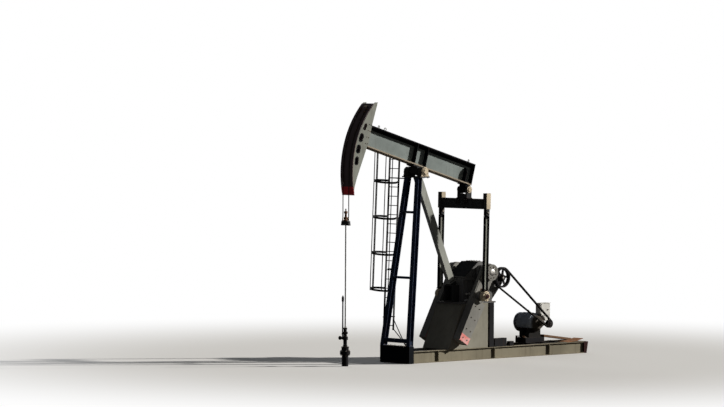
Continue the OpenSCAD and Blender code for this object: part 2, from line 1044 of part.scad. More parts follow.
module wrist_bearings() {
    color(steel)
        pitman_frame()
            translate([0, 0, -pitman_l])
                both_sides()
                    union() {
                        bar_y(150, pitman_y - 62, pitman_y + 62);
                        bar_y(60, crank_out + 6, pitman_y + 80);
                        translate([-60, pitman_y - 45, 100])
                            cube([120, 90, 49.7]);
                    }
}

// Cranks

module crankshaft() {
    color(steel)
        crank_frame()
            bar_y(shaft_d / 2, -crank_out, crank_out);
}

hub_r = 260;
arm_split = crank_in + 130;

module crank_profile() {
    hull() {
        circle(hub_r);
        translate([-crank_w / 2, -crank_len])
            square([crank_w, 300]);
    }
}

module crank_arm() {
    difference() {
        union() {
            across(crank_in, arm_split)
                crank_profile();
            bar_y(hub_r - 20, crank_in, crank_out);
            translate([0, 0, -crank_r])
                bar_y(150, crank_in, crank_out);
        }
        bar_y(shaft_d / 2, crank_in - 1, crank_out + 1);
        for (r = [crank_r, crank_r - 180, crank_r + 180])
            translate([0, 0, -r])
                bar_y(r == crank_r ? 62 : 50, crank_in - 1, crank_out + 1);
    }
}

module crank_far() {
    color(steel)
        crank_frame()
            crank_arm();
}

module crank_near() {
    color(steel)
        crank_frame()
            mirror([0, 1, 0])
                crank_arm();
}

module counterweight() {
    difference() {
        across(arm_split + 0.3, crank_out)
            intersection() {
                crank_profile();
                translate([-1000, -crank_len])
                    square([2000, crank_len - crank_r - 190]);
            }
        translate([0, 0, -crank_r - 180])
            bar_y(50, 0, 1000);
    }
}

module counterweight_far() {
    color(dark)
        crank_frame()
            counterweight();
}

module counterweight_near() {
    color(dark)
        crank_frame()
            mirror([0, 1, 0])
                counterweight();
}

// Polished rod and its carrier

module bridle_hang() {
    color("black")
        for (s = [-1, 1])
            translate([-head_r, s * rope_y, carrier_z + 20])
                cylinder(h = bearing_h - carrier_z - 20.95, r = rope_d / 2, $fn = 16);
}

module carrier_bar() {
    color(dark)
        translate([-head_r, 0, 0])
            difference() {
                translate([-36, 0, carrier_z])
                    rotate([90, 0, 90])
                        linear_extrude(72)
                            polygon([[-rope_y - 48, 0], [rope_y + 48, 0], [rope_y + 24, bar_t],
                                [-rope_y - 24, bar_t]]);
                translate([0, 0, carrier_z - 1])
                    cylinder(h = bar_t + 2, r = rod_d / 2);
                for (s = [-1, 1])
                    translate([0, s * rope_y, carrier_z + 20])
                        cylinder(h = bar_t, r = rope_d / 2);
            }
}

module rod_clamp() {
    color("saddlebrown")
        translate([-head_r, 0, carrier_z + bar_t])
            difference() {
                union() {
                    cylinder(h = 120, r = 44);
                    translate([0, 0, 119])
                        cylinder(h = 90, r = 32);
                    translate([0, 0, 208])
                        cylinder(h = 70, r = 40);
                }
                translate([0, 0, -1])
                    cylinder(h = 400, r = rod_d / 2);
            }
}

rod_low = well_h - 380;

module polished_rod() {
    color("silver")
        translate([-head_r, 0, rod_low])
            cylinder(h = carrier_z + 480 - rod_low, r = rod_d / 2);
}

base_runner_near();
base_runner_far();
base_crossmembers();
base_front_block();
base_nose();
post_front_legs();
post_girts();
post_rear_leg();
post_cap();
centre_bearing_housings();
ladder();
ladder_rungs();
ladder_cage();
gearbox_pedestal();
pedestal_columns();
rear_leg_stool();
gearbox_housing();
gearbox_cover();
motor_body();
motor_terminal_box();
motor_rails();
motor_plank();
drive_belts();
casing_head();
pumping_tee();
stuffing_box();
walking_beam();
beam_stiffeners();
beam_saddle();
centre_shaft();
horsehead_sides();
horsehead_face();
tail_bracket();
bridle_wrap();
equalizer_beam();
equalizer_bearing();
pitmans();
wrist_bearings();
crankshaft();
crank_near();
crank_far();
counterweight_near();
counterweight_far();
bridle_hang();
carrier_bar();
rod_clamp();
polished_rod();
gearbox_sheave();
input_shaft();
motor_pulley();
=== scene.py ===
"""Pumpjack: finishes, fittings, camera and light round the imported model."""
import json
import random
from itertools import product
from math import atan2, cos, hypot, pi, radians, sin

import bmesh
import bpy
from mathutils import Matrix, Vector


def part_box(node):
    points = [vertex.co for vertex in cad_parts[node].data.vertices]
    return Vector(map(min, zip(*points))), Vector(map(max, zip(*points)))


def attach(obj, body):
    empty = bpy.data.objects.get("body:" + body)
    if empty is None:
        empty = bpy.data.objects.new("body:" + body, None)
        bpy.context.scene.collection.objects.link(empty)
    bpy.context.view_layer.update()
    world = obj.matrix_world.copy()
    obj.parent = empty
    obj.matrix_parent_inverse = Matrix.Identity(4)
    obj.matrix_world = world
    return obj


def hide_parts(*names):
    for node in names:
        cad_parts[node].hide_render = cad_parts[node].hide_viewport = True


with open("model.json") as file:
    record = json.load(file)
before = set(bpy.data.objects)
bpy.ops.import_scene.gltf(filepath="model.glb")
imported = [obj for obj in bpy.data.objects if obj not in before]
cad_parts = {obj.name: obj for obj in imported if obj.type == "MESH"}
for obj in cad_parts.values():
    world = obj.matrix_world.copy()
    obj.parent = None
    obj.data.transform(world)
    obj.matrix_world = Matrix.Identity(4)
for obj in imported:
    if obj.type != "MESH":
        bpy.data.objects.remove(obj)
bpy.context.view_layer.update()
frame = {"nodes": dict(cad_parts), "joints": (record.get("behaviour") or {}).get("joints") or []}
bpy.context.scene.view_settings.view_transform = "Standard"
random.seed(7)

# Places worked out from the frame

ROOT, BEAM, EQUALIZER, CRANKS = "root", "beam", "equalizer", "cranks"
ROD, SHEAVE, PULLEY = "rod", "sheave", "pulley"

joints = {j["name"]: Vector(j["pos_m"]) for j in frame["joints"] if "pos_m" in j}
PIVOT = joints["beam_rock"]
TAIL = joints["equalizer_pivot"]
SHAFT = joints["crank_turn"]
INPUT = joints["sheave_spin"]
MOTOR = joints["motor_spin"]

X = Vector((1, 0, 0))
Y = Vector((0, 1, 0))
Z = Vector((0, 0, 1))


def middle(node):
    low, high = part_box(node)
    return (low + high) / 2


def tilted(at, angle):
    """A frame at a place, turned about the cross axis."""
    return Matrix.Translation(at) @ Matrix.Rotation(angle, 4, "Y")


WRIST = middle("wrist_bearings")
ROD_X = middle("polished_rod").x
HEAD_R = -ROD_X
TILT = atan2(PIVOT.z - TAIL.z, TAIL.x)
LEAN = atan2(TAIL.x - WRIST.x, TAIL.z - WRIST.z)
PITMAN_L = hypot(TAIL.x - WRIST.x, TAIL.z - WRIST.z)
CRANK_ANGLE = atan2(SHAFT.x - WRIST.x, SHAFT.z - WRIST.z)

# Frames for the pieces on the moving bodies; the others use the scene's own
FRAMES = {BEAM: tilted(PIVOT, TILT), EQUALIZER: tilted(TAIL, LEAN), CRANKS: tilted(SHAFT, CRANK_ANGLE)}


def add_object(name, data):
    made = bpy.data.objects.new(name, data)
    bpy.context.scene.collection.objects.link(made)
    return made


# Camera: the photograph's view, with a long lens from far off

CAMERA_AZIMUTH = radians(-43.45)
CAMERA_DISTANCE = 115.0
CAMERA_HEIGHT = 8.295
CAMERA_TARGET = Vector((-2.163, 0.0, 4.657))
CAMERA_ROLL = radians(0.309)
FOCAL_PIXELS = 4000.0
PHOTO_WIDTH = 724.0
SENSOR_MM = 36.0


def make_camera():
    data = bpy.data.cameras.new("camera")
    data.sensor_width = SENSOR_MM
    data.lens = FOCAL_PIXELS / PHOTO_WIDTH * SENSOR_MM
    data.clip_start = 1.0
    data.clip_end = 1000.0
    camera = add_object("camera", data)
    back = Vector((sin(CAMERA_AZIMUTH), -cos(CAMERA_AZIMUTH), 0)) * CAMERA_DISTANCE
    camera.location = Vector((CAMERA_TARGET.x, 0, CAMERA_HEIGHT)) + back
    aim = (CAMERA_TARGET - camera.location).to_track_quat("-Z", "Y")
    camera.rotation_mode = "QUATERNION"
    camera.rotation_quaternion = aim @ Matrix.Rotation(CAMERA_ROLL, 4, "Z").to_quaternion()
    bpy.context.scene.camera = camera


make_camera()

# Light: a sun from the motor side, as in the photograph, a soft fill from the far side, a pale surround

SUN_FROM = Vector((0.79, -0.54, 0.38))
SUN_STRENGTH = 4.4
SUN_ANGLE = radians(2)
SUN_TINT = (1.0, 0.97, 0.92)
FILL_FROM = Vector((0.35, 0.9, 0.15))
FILL_STRENGTH = 1.0
FILL_ANGLE = radians(40)
FILL_TINT = (0.93, 0.97, 1.0)
SKY_STRENGTH = 0.058
SKY_TINT = (0.93, 0.96, 1.0, 1)
WHITE = (1, 1, 1, 1)
FLOOR_CENTRE = (1.8, 0, -0.002)
FLOOR_RADIUS = 60.0
FLOOR_FADE = (7.0, 22.0)
FLOOR_COLOUR = (0.94, 0.93, 0.91, 1)
FLOOR_BOUNCE = (0.1, 0.093, 0.083, 1)


class Nodes:
    """Short calls for building a node tree; a node given as an input stands for its first output."""

    def __init__(self, tree):
        self.tree = tree
        self.tree.nodes.clear()

    def add(self, kind, inputs=None, **settings):
        node = self.tree.nodes.new("ShaderNode" + kind)
        for key, value in settings.items():
            setattr(node, key, value)
        for key, value in (inputs or {}).items():
            if isinstance(value, bpy.types.Node):
                value = value.outputs[0]
            if isinstance(value, bpy.types.NodeSocket):
                self.tree.links.new(value, node.inputs[key])
            else:
                node.inputs[key].default_value = value
        return node

    def place(self):
        return self.add("TexCoord").outputs["Object"]

    def normal(self):
        return self.add("NewGeometry").outputs["Normal"]

    def part(self, vector, axis):
        return self.add("SeparateXYZ", {0: vector}).outputs[axis]

    def maths(self, operation, a, b=0.0, clamp=False):
        return self.add("Math", {0: a, 1: b}, operation=operation, use_clamp=clamp).outputs[0]

    def times(self, a, b):
        return self.maths("MULTIPLY", a, b)

    def plus(self, a, b, clamp=False):
        return self.maths("ADD", a, b, clamp)

    def vector(self, operation, *values):
        """Vector maths; a length or a dot product comes out as a number."""
        node = self.add("VectorMath", dict(enumerate(values)), operation=operation)
        return node.outputs["Value" if operation in ("LENGTH", "DOT_PRODUCT") else "Vector"]

    def spread(self, value, low, high, to_low=0.0, to_high=1.0):
        return self.add("MapRange", {0: value, 1: low, 2: high, 3: to_low, 4: to_high},
                        interpolation_type="SMOOTHSTEP").outputs[0]

    def mix(self, factor, a, b):
        return self.add("Mix", {0: factor, 6: a, 7: b}, data_type="RGBA").outputs[2]

    def noise(self, vector, scale, detail, rough, distortion=0.0):
        return self.add("TexNoise", {"Vector": vector, "Scale": scale, "Detail": detail,
                                     "Roughness": rough, "Distortion": distortion}).outputs[0]

    def scaled(self, vector, scale):
        return self.add("Mapping", {"Vector": vector, "Scale": scale}).outputs[0]


def new_material(name):
    material = bpy.data.materials.new(name)
    material.use_nodes = True
    return material, Nodes(material.node_tree)


def make_world():
    world = bpy.data.worlds.new("studio")
    bpy.context.scene.world = world
    world.use_nodes = True
    n = Nodes(world.node_tree)
    path = n.add("LightPath").outputs
    seen = n.maths("MAXIMUM", path["Is Camera Ray"], path["Is Transmission Ray"])
    lit = n.add("Background", {"Color": SKY_TINT, "Strength": SKY_STRENGTH})
    shown = n.add("Background", {"Color": WHITE, "Strength": 1.0})
    n.add("OutputWorld", {"Surface": n.add("MixShader", {0: seen, 1: lit, 2: shown}).outputs[0]})


def make_lamp(name, towards, strength, angle, colour):
    data = bpy.data.lights.new(name, "SUN")
    data.energy = strength
    data.angle = angle
    data.color = colour
    lamp = add_object(name, data)
    lamp.rotation_mode = "QUATERNION"
    lamp.rotation_quaternion = towards.to_track_quat("Z", "Y")


def make_floor():
    """A pale floor that fades into the white surround and throws little light back."""
    bm = bmesh.new()
    bmesh.ops.create_circle(bm, cap_ends=True, radius=FLOOR_RADIUS, segments=96)
    mesh = bpy.data.meshes.new("floor")
    bm.to_mesh(mesh)
    bm.free()
    floor = add_object("floor", mesh)
    floor.location = FLOOR_CENTRE
    material, n = new_material("floor")
    far = n.spread(n.vector("LENGTH", n.place()), *FLOOR_FADE)
    seen = n.add("LightPath").outputs["Is Camera Ray"]
    matt = n.add("BsdfDiffuse", {"Color": n.mix(seen, FLOOR_BOUNCE, FLOOR_COLOUR)})
    white = n.add("Emission", {"Color": WHITE, "Strength": 1.0})
    n.add("OutputMaterial", {"Surface": n.add("MixShader", {0: n.times(far, seen), 1: matt, 2: white})})
    mesh.materials.append(material)


make_world()
make_lamp("sun", SUN_FROM, SUN_STRENGTH, SUN_ANGLE, SUN_TINT)
make_lamp("fill", FILL_FROM, FILL_STRENGTH, FILL_ANGLE, FILL_TINT)
make_floor()

# Materials

RUST = (0.17, 0.065, 0.028, 1)
DARK_RUST = (0.07, 0.028, 0.016, 1)
DUST = (0.5, 0.44, 0.35, 1)
GRIME = (0.03, 0.026, 0.022, 1)
PAINT_SHINE, METAL_SHINE = 0.05, 0.5
# Scale, detail and roughness of each noise
FADING = (0.9, 6.0, 0.6)
GRAIN = (34.0, 6.0, 0.65)
RUNS, RUN_STRETCH = (1.0, 5.0, 0.6), (11, 11, 0.7)
SPOTS = (5.5, 8.0, 0.7)
WEAR = (9.0, 6.0, 0.7)
SETTLED = (3.0, 5.0, 0.6)
TIP_FADING = (6.0, 5.0, 0.6)
METAL_LINES = (60.0, 4.0, 0.6)
METAL_PATCHES = (7.0, 6.0, 0.65)


def finish_surface(n, colour, rough, bump, bump_height, metallic=0.0, edge=0.004):
    """Joins colour, roughness and bump to one shader with softened edges."""
    rounded = n.add("Bevel", {"Radius": edge}, samples=4)
    raised = n.add("Bump", {"Strength": 0.6, "Distance": bump_height, "Height": bump, "Normal": rounded})
    shine = METAL_SHINE if metallic else PAINT_SHINE
    shader = n.add("BsdfPrincipled", {"Base Color": colour, "Roughness": rough, "Normal": raised,
                                      "Metallic": metallic, "Specular IOR Level": shine})
    n.add("OutputMaterial", {"Surface": shader})


def edge_mask(n, radius):
    """1 where the surface turns sharply, 0 on the flats."""
    rounded = n.add("Bevel", {"Radius": radius}, samples=4)
    return n.spread(n.vector("DOT_PRODUCT", rounded, n.normal()), 0.995, 0.86)


def tip_paint(n, place, fine, colour, centre, reach, tone):
    """Faded paint on the outward faces beyond a reach from a centre."""
    flat = n.vector("MULTIPLY", n.vector("SUBTRACT", place, centre), (1, 0, 1))
    ragged = n.plus(n.vector("LENGTH", flat), n.times(fine, 0.012))
    outward = n.spread(n.maths("ABSOLUTE", n.part(n.normal(), 1)), 0.5, 0.8)
    pale = (*(min(1.0, 0.35 + 0.65 * c) for c in tone), 1)
    faded = n.mix(n.spread(n.noise(place, *TIP_FADING), 0.35, 0.7), (*tone, 1), pale)
    return n.mix(n.times(n.spread(ragged, reach, reach + 0.008), outward), colour, faded)


def paint(name, base, rust, streaks, dust, rough=0.5, fade=0.16, tip=None, near=None, bands=()):
    """Weathered paint on steel: faded patches, run-down streaks, rust spots, worn edges, dust.

    tip: centre, reach and tone of another paint beyond that reach
    near: a place across the unit and the tone of painted shade on its near side
    bands: direction, start, softness and tone of a paint past that start from the centre bearing, used
    for painted shade, a painted highlight and a second paint
    """
    material, n = new_material(name)
    place = n.place()
    pale = (*(min(1.0, c * (1 + fade) + 0.003) for c in base), 1)
    deep = (*(c * (1 - fade) for c in base), 1)
    broad = n.noise(place, *FADING)
    fine = n.noise(place, *GRAIN)
    colour = n.mix(n.spread(broad, 0.32, 0.68), deep, pale)
    if tip:
        colour = tip_paint(n, place, fine, colour, *tip)
    # bands of another tone: painted shade and a painted highlight on some parts, a second paint on
    # others
    for direction, start, soft, tone in bands:
        height = n.vector("DOT_PRODUCT", n.vector("SUBTRACT", place, PIVOT), direction)
        ragged = n.plus(height, n.times(fine, soft))
        colour = n.mix(n.spread(ragged, start, start + soft), colour, (*tone, 1))
    # painted shade on the near side
    if near:
        edge_y, tone = near
        wavy = n.plus(n.part(place, 1), n.times(broad, 0.08))
        colour = n.mix(n.spread(wavy, edge_y + 0.09, edge_y), colour, (*tone, 1))
    runs = n.spread(n.noise(n.scaled(place, RUN_STRETCH), *RUNS), 0.52, 0.72)
    colour = n.mix(n.times(n.times(runs, streaks), 0.6), colour, DARK_RUST)
    spots = n.plus(n.times(n.noise(place, *SPOTS), 0.75), n.times(fine, 0.25))
    spots = n.spread(spots, 0.7 - 0.16 * rust, 0.76 - 0.16 * rust)
    worn = n.times(edge_mask(n, 0.012), n.spread(n.noise(place, *WEAR), 0.42, 0.62))
    bare = n.maths("MAXIMUM", n.times(spots, min(1.0, rust * 2)), n.times(worn, 0.5))
    colour = n.mix(bare, colour, n.mix(fine, RUST, DARK_RUST))
    lying = n.spread(n.part(n.normal(), 2), 0.8, 1.0)
    lying = n.times(lying, n.spread(n.noise(place, *SETTLED), 0.3, 0.7))
    colour = n.mix(n.times(lying, dust), colour, DUST)
    roughness = n.plus(rough, n.times(n.maths("MAXIMUM", bare, lying), 0.3), clamp=True)
    height = n.plus(n.times(bare, fine), n.times(fine, 0.25))
    finish_surface(n, colour, roughness, height, 0.003)
    return material


def bare_metal(name, base, rough, metallic=1.0, grime=0.4, rusty=0.2, stretch=(1, 1, 1)):
    """Machined or oily steel with grime in patches."""
    material, n = new_material(name)
    place = n.place()
    lines = n.noise(n.scaled(place, stretch), *METAL_LINES)
    patches = n.noise(place, *METAL_PATCHES)
    colour = n.mix(n.spread(lines, 0.3, 0.7), (*base, 1), (*(c * 0.75 for c in base), 1))
    colour = n.mix(n.times(n.spread(patches, 0.45, 0.7), grime), colour, GRIME)
    colour = n.mix(n.times(n.spread(patches, 0.5, 0.35), rusty), colour, RUST)
    roughness = n.spread(patches, 0.3, 0.7, rough, min(1.0, rough + 0.3))
    finish_surface(n, colour, roughness, lines, 0.0006, metallic, 0.002)
    return material


def rubber(name):
    material, n = new_material(name)
    place = n.place()
    fine = n.noise(place, 90.0, 4.0, 0.6)
    dusty = n.spread(n.noise(place, 5.0, 5.0, 0.6), 0.4, 0.75)
    colour = n.mix(n.times(dusty, 0.5), (0.018, 0.018, 0.019, 1), (0.13, 0.115, 0.095, 1))
    finish_surface(n, colour, 0.75, fine, 0.0008, 0.0, 0.002)
    return material


def timber(name):
    material, n = new_material(name)
    grain = n.noise(n.scaled(n.place(), (38, 2.5, 38)), 1.0, 8.0, 0.7, 0.6)
    colour = n.mix(n.spread(grain, 0.3, 0.7), (0.1, 0.055, 0.032, 1), (0.27, 0.165, 0.1, 1))
    finish_surface(n, colour, 0.85, grain, 0.004, 0.0, 0.003)
    return material


# Heights of the walking beam's underside and top over the centre bearing, and its plates
BEAM_LOW, BEAM_HIGH = 0.15, 0.79
FLANGE_T, WEB_T = 0.034, 0.02
BEAM_UP = Vector((sin(TILT), 0, cos(TILT)))
# Start (x, z) and run (along, up) of the gearbox cover's two slopes
COVER_FRONT, COVER_RISE = (1.72, 2.48), (0.51, 0.39)
COVER_BACK, COVER_FALL = (2.52, 2.87), (0.62, -0.31)
COVER_UP = Vector((-COVER_RISE[1], 0, COVER_RISE[0])).normalized()
COVER_START = (Vector((COVER_FRONT[0], 0, COVER_FRONT[1])) - PIVOT).dot(COVER_UP)
HOUSING_CAP_Y = 0.372
MOTOR_SHADE_Y, MOTOR_SHADE_Z = 0.04, 0.79
TIP_REACH = 2.12

CREAM = (0.66, 0.56, 0.41)
# Painted shadow: near-black for the top flange and the top band of the web, standing in for the top
# flange's shadow
BEAM_PAINTED_SHADOW = (0.005, 0.007, 0.01)
# Painted highlight: pale cream for the sunlit bottom flange of the walking beam
BEAM_PAINTED_HIGHLIGHT = (0.4, 0.34, 0.26)
# Painted shade: near-black for the gearbox cover's front slope, which lies in shade
COVER_PAINTED_SHADE = (0.022, 0.024, 0.028)
# Painted shade: dark tones for the motor's near end and its underside
MOTOR_NEAR_PAINTED_SHADE = (0.075, 0.065, 0.055)
MOTOR_UNDER_PAINTED_SHADE = (0.022, 0.021, 0.02)
TIP_RED = (0.86, 0.25, 0.22)

# Each paint has its name and colour, then its rust, streaks, dust and, if not 0.5, roughness;
# each metal its name and colour, then its roughness and, if not the usual, metal, grime and rust
MATERIALS = {
    # beam paint with a painted shadow over its top band and a painted highlight along its bottom flange
    "beam": paint("beam paint", (0.245, 0.28, 0.27), 0.12, 0.35, 0.3,
                  bands=((BEAM_UP, BEAM_HIGH - 0.115, 0.008, BEAM_PAINTED_SHADOW),
                         (-BEAM_UP, -BEAM_LOW - FLANGE_T, 0.004, BEAM_PAINTED_HIGHLIGHT))),
    "rear_leg": paint("rear leg paint", (0.35, 0.36, 0.325), 0.15, 0.4, 0.3),
    "head": paint("horsehead paint", (0.275, 0.285, 0.25), 0.2, 0.5, 0.25),
    # near-black: painted shade on the beam stiffeners, tail bracket, pitmans and horsehead hole frames;
    # the front block and pitman feet take it too
    "stiff": paint("near-black paint and painted shade", (0.004, 0.006, 0.009), 0.1, 0.15, 0.2, 0.7),
    "base": paint("base paint", (0.24, 0.215, 0.155), 0.25, 0.45, 0.7, 0.6),
    "pedestal": paint("pedestal paint", (0.285, 0.27, 0.22), 0.2, 0.4, 0.5, 0.6),
    "leg": paint("leg paint", (0.028, 0.044, 0.085), 0.15, 0.3, 0.12, fade=0.3),
    "dark": paint("dark paint", (0.046, 0.048, 0.051), 0.25, 0.4, 0.25),
    "face": paint("face paint", (0.15, 0.115, 0.125), 0.6, 0.7, 0.15),
    # gearbox paint with painted shade on the cover's front slope
    "gearbox": paint("gearbox paint", (0.17, 0.17, 0.168), 0.15, 0.3, 0.3, 0.85,
                     bands=((COVER_UP, COVER_START - 0.008, 0.004, COVER_PAINTED_SHADE),)),
    "cream": paint("dusty cream paint", CREAM, 0.3, 0.5, 0.4, 0.7),
    # near-black housing sides as painted shade, cream paint on the end faces
    "housing": paint("bearing housing paint with painted shade", (0.045, 0.045, 0.045), 0.3, 0.3, 0.3,
                     bands=((Y, HOUSING_CAP_Y, 0.004, CREAM), (-Y, HOUSING_CAP_Y, 0.004, CREAM))),
    "maroon": paint("dull red-brown paint", (0.032, 0.01, 0.01), 0.35, 0.4, 0.1),
    "orange": paint("orange rust", (0.42, 0.17, 0.07), 0.9, 0.3, 0.4, 0.85),
    # motor paint with painted shade on its near end and underside
    "motor": paint("motor paint", (0.44, 0.49, 0.57), 0.08, 0.2, 0.3, 0.4,
                   near=(MOTOR_SHADE_Y, MOTOR_NEAR_PAINTED_SHADE),
                   bands=((-Z, PIVOT.z - MOTOR_SHADE_Z, 0.02, MOTOR_UNDER_PAINTED_SHADE),)),
    "white": paint("white paint", (0.74, 0.73, 0.69), 0.12, 0.2, 0.3, 0.4),
    "black": paint("black paint", (0.014, 0.014, 0.016), 0.3, 0.3, 0.35),
    "rusty": paint("rusty steel", (0.16, 0.085, 0.05), 0.9, 0.4, 0.3, 0.75),
    "steel": bare_metal("machined steel", (0.5, 0.49, 0.47), 0.34),
    "rod": bare_metal("polished rod", (0.6, 0.59, 0.57), 0.2, 1.0, 0.25, 0.05, (1, 1, 0.02)),
    "rope": bare_metal("wire rope", (0.11, 0.095, 0.08), 0.55, 0.6, 0.5, 0.5),
    "bolt": bare_metal("bolts", (0.24, 0.225, 0.2), 0.5, 0.7, 0.5, 0.5),
    "red": paint("red paint", (0.94, 0.07, 0.09), 0.35, 0.6, 0.2),
    "rubber": rubber("belt rubber"),
    "wood": timber("weathered timber"),
    "crank": paint("crank paint", (0.25, 0.245, 0.225), 0.25, 0.4, 0.4, tip=(SHAFT, TIP_REACH, TIP_RED)),
}

FINISH = {
    "beam": "walking_beam",
    "rear_leg": "post_rear_leg",
    "head": "horsehead_sides",
    # painted shade on the stiffeners, tail bracket and pitmans
    "stiff": "beam_stiffeners tail_bracket pitmans base_front_block",
    "base": "base_runner_near base_runner_far",
    "pedestal": "gearbox_pedestal",
    "cream": "wrist_bearings",
    # painted shade on the housing sides, cream on their ends
    "housing": "centre_bearing_housings",
    "leg": "post_front_legs post_girts",
    "dark": "equalizer_beam equalizer_bearing post_cap ladder ladder_rungs ladder_cage"
            " rear_leg_stool beam_saddle carrier_bar base_crossmembers",
    "maroon": "base_nose",
    "face": "horsehead_face",
    "gearbox": "gearbox_housing gearbox_cover",
    "motor": "motor_body",
    "white": "motor_terminal_box",
    "rusty": "rod_clamp",
    "wood": "motor_plank",
    "rubber": "drive_belts",
    "black": "pedestal_columns motor_rails casing_head pumping_tee stuffing_box gearbox_sheave"
             " motor_pulley",
    "steel": "centre_shaft crankshaft input_shaft",
    "rod": "polished_rod",
    "rope": "bridle_wrap bridle_hang",
    "crank": "crank_near crank_far counterweight_near counterweight_far",
}

for key, names in FINISH.items():
    for name in names.split():
        slots = frame["nodes"][name].data.materials
        slots.clear()
        slots.append(MATERIALS[key])

# Mesh helpers

SIDES = (-1, 1)
SMOOTH_ANGLE = radians(35)
STRANDS, STRAND_PITCH = 6, 0.16


def facing(at, direction):
    """A frame at a place whose +Z points in a direction."""
    return Matrix.Translation(at) @ direction.to_track_quat("Z", "Y").to_matrix().to_4x4()


def span(low, high, count):
    """Even places from low to high, both ends in."""
    return [low + (high - low) * k / (count - 1) for k in range(count)]


def turns(count, phase=0.0):
    """Even angles round a full turn."""
    return [phase + 2 * pi * k / count for k in range(count)]


def spoke(t):
    """The direction at an angle in the plane along the unit."""
    return Vector((cos(t), 0, sin(t)))


def circle(radius, count, height=0.0, phase=0.0):
    """Points round a level circle."""
    return [Vector((radius * cos(t), radius * sin(t), height)) for t in turns(count, phase)]


def disc(radius, depth, hole=0.0):
    """Profile of a plain round plate or collar."""
    return [(hole, 0), (radius, 0), (radius, depth), (hole, depth)]


def along_path(path, closed=False):
    """Each point of a path with two directions square to it, which turn as little as they can."""
    normal = None
    for i, p in enumerate(path):
        before = path[i - 1] if i or closed else p
        after = path[(i + 1) % len(path)] if i < len(path) - 1 or closed else p
        along = (after - before).normalized()
        if normal is None:
            normal = along.orthogonal().normalized()
        normal = (normal - along * normal.dot(along)).normalized()
        yield p, normal, along.cross(normal)


pieces = []  # in the order in which they are started, and then finished


class Piece:
    """A mesh piece made of many small parts, given in a frame of its own, which rides on one body."""

    def __init__(self, name, body, finish="bolt", base=None):
        self.name = name
        self.body = body
        self.finish = finish
        self.base = base or FRAMES.get(body, Matrix.Identity(4))
        self.bm = bmesh.new()
        pieces.append(self)

    def row(self, points, place):
        return [self.bm.verts.new(place @ Vector(p)) for p in points]

    def join_rings(self, low, high):
        count = max(len(low), len(high))
        for k in range(count):
            a, b = low[k % len(low)], low[(k + 1) % len(low)]
            c, d = high[(k + 1) % len(high)], high[k % len(high)]
            corners = [v for i, v in enumerate((a, b, c, d)) if v not in (a, b, c, d)[:i]]
            if len(corners) > 2:
                self.bm.faces.new(corners)

    def skin(self, rings, closed=False, ends=True):
        """Faces from ring to ring, which close on themselves or get two ends."""
        for low, high in zip(rings, rings[1:]):
            self.join_rings(low, high)
        if closed:
            self.join_rings(rings[-1], rings[0])
        elif ends:
            self.bm.faces.new(list(reversed(rings[0])))
            self.bm.faces.new(rings[-1])

    def block(self, centre, size, bevel=0.0, turn=0.0, axis="Y"):
        place = self.base @ Matrix.Translation(centre) @ Matrix.Rotation(turn, 4, axis)
        place = place @ Matrix.Diagonal((*size, 1))
        made = bmesh.ops.create_cube(self.bm, size=1.0, matrix=place)
        if bevel:
            edges = list(dict.fromkeys(e for v in made["verts"] for e in v.link_edges))
            bmesh.ops.bevel(self.bm, geom=edges, offset=bevel, segments=2, affect="EDGES")

    def plate(self, outline, low, high):
        """A flat outline of (x, z) points made into a plate between two places across the unit."""
        near, far = [self.row([(x, y, z) for x, z in outline], self.base) for y in (low, high)]
        self.join_rings(near, far)
        self.bm.faces.new(near)
        self.bm.faces.new(far)

    def frame_plate(self, inner, outer, low, high):
        """A flat ring between two outlines of (x, z) points, with its thickness across the unit."""
        loops = ((inner, low), (inner, high), (outer, high), (outer, low))
        self.skin([self.row([(x, y, z) for x, z in line], self.base) for line, y in loops], closed=True)

    def lathe(self, at, direction, profile, sides):
        """Turns a profile of (radius, height) pairs about a direction."""
        place = self.base @ facing(at, direction)
        self.skin([self.row(circle(radius, sides if radius > 0 else 1, height), place)
                   for radius, height in profile], ends=False)

    def tube(self, points, radius, sides, closed=False):
        """A round bar through a list of points."""
        points = [self.base @ Vector(p) for p in points]
        self.skin([[self.bm.verts.new(p + radius * (normal * cos(t) + side * sin(t)))
                    for t in turns(sides)] for p, normal, side in along_path(points, closed)], closed)

    def bolt(self, at, direction, size, washer=True):
        """A hexagon head, mostly on a washer; size is half its width."""
        spin = Matrix.Rotation(random.random(), 4, "Z")
        place = self.base @ facing(at, direction) @ spin
        rise = size * 0.22 if washer else 0.0
        if washer:
            self.lathe(at, direction, disc(size * 1.45, rise), 12)
        levels = ((1.0, rise), (1.0, rise + size * 0.95), (0.86, rise + size * 1.15))
        self.skin([self.row([p * shrink + Z * height for p in circle(size, 6)], place)
                   for shrink, height in levels])

    def stud(self, at, direction, size, reach):
        """A nut with its stud standing through."""
        self.bolt(at, direction, size)
        self.lathe(at, direction, [(0, 0), (size * 0.55, 0), (size * 0.55, size * 1.2 + reach),
                                   (0, size * 1.25 + reach)], 10)

    def done(self):
        bmesh.ops.recalc_face_normals(self.bm, faces=self.bm.faces)
        # faces made after a bevel take the places it left, in an order of chance
        self.bm.verts.index_update()
        ordered = sorted(self.bm.faces, key=lambda face: [v.index for v in face.verts])
        for place, face in enumerate(ordered):
            face.index = place
        self.bm.faces.sort()
        mesh = bpy.data.meshes.new(self.name)
        self.bm.to_mesh(mesh)
        self.bm.free()
        mesh.materials.append(MATERIALS[self.finish])
        mesh.shade_smooth()
        mesh.set_sharp_from_angle(angle=SMOOTH_ANGLE)
        made = add_object(self.name, mesh)
        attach(made, self.body)
        return made


def around(at, direction, radius, count, phase=0.0):
    """Places on a circle square to a direction."""
    return [facing(at, direction) @ p for p in circle(radius, count, 0.0, phase)]


def ring_bolts(piece, at, direction, radius, count, size, phase=0.0):
    for spot in around(at, direction, radius, count, phase):
        piece.bolt(spot, direction, size)


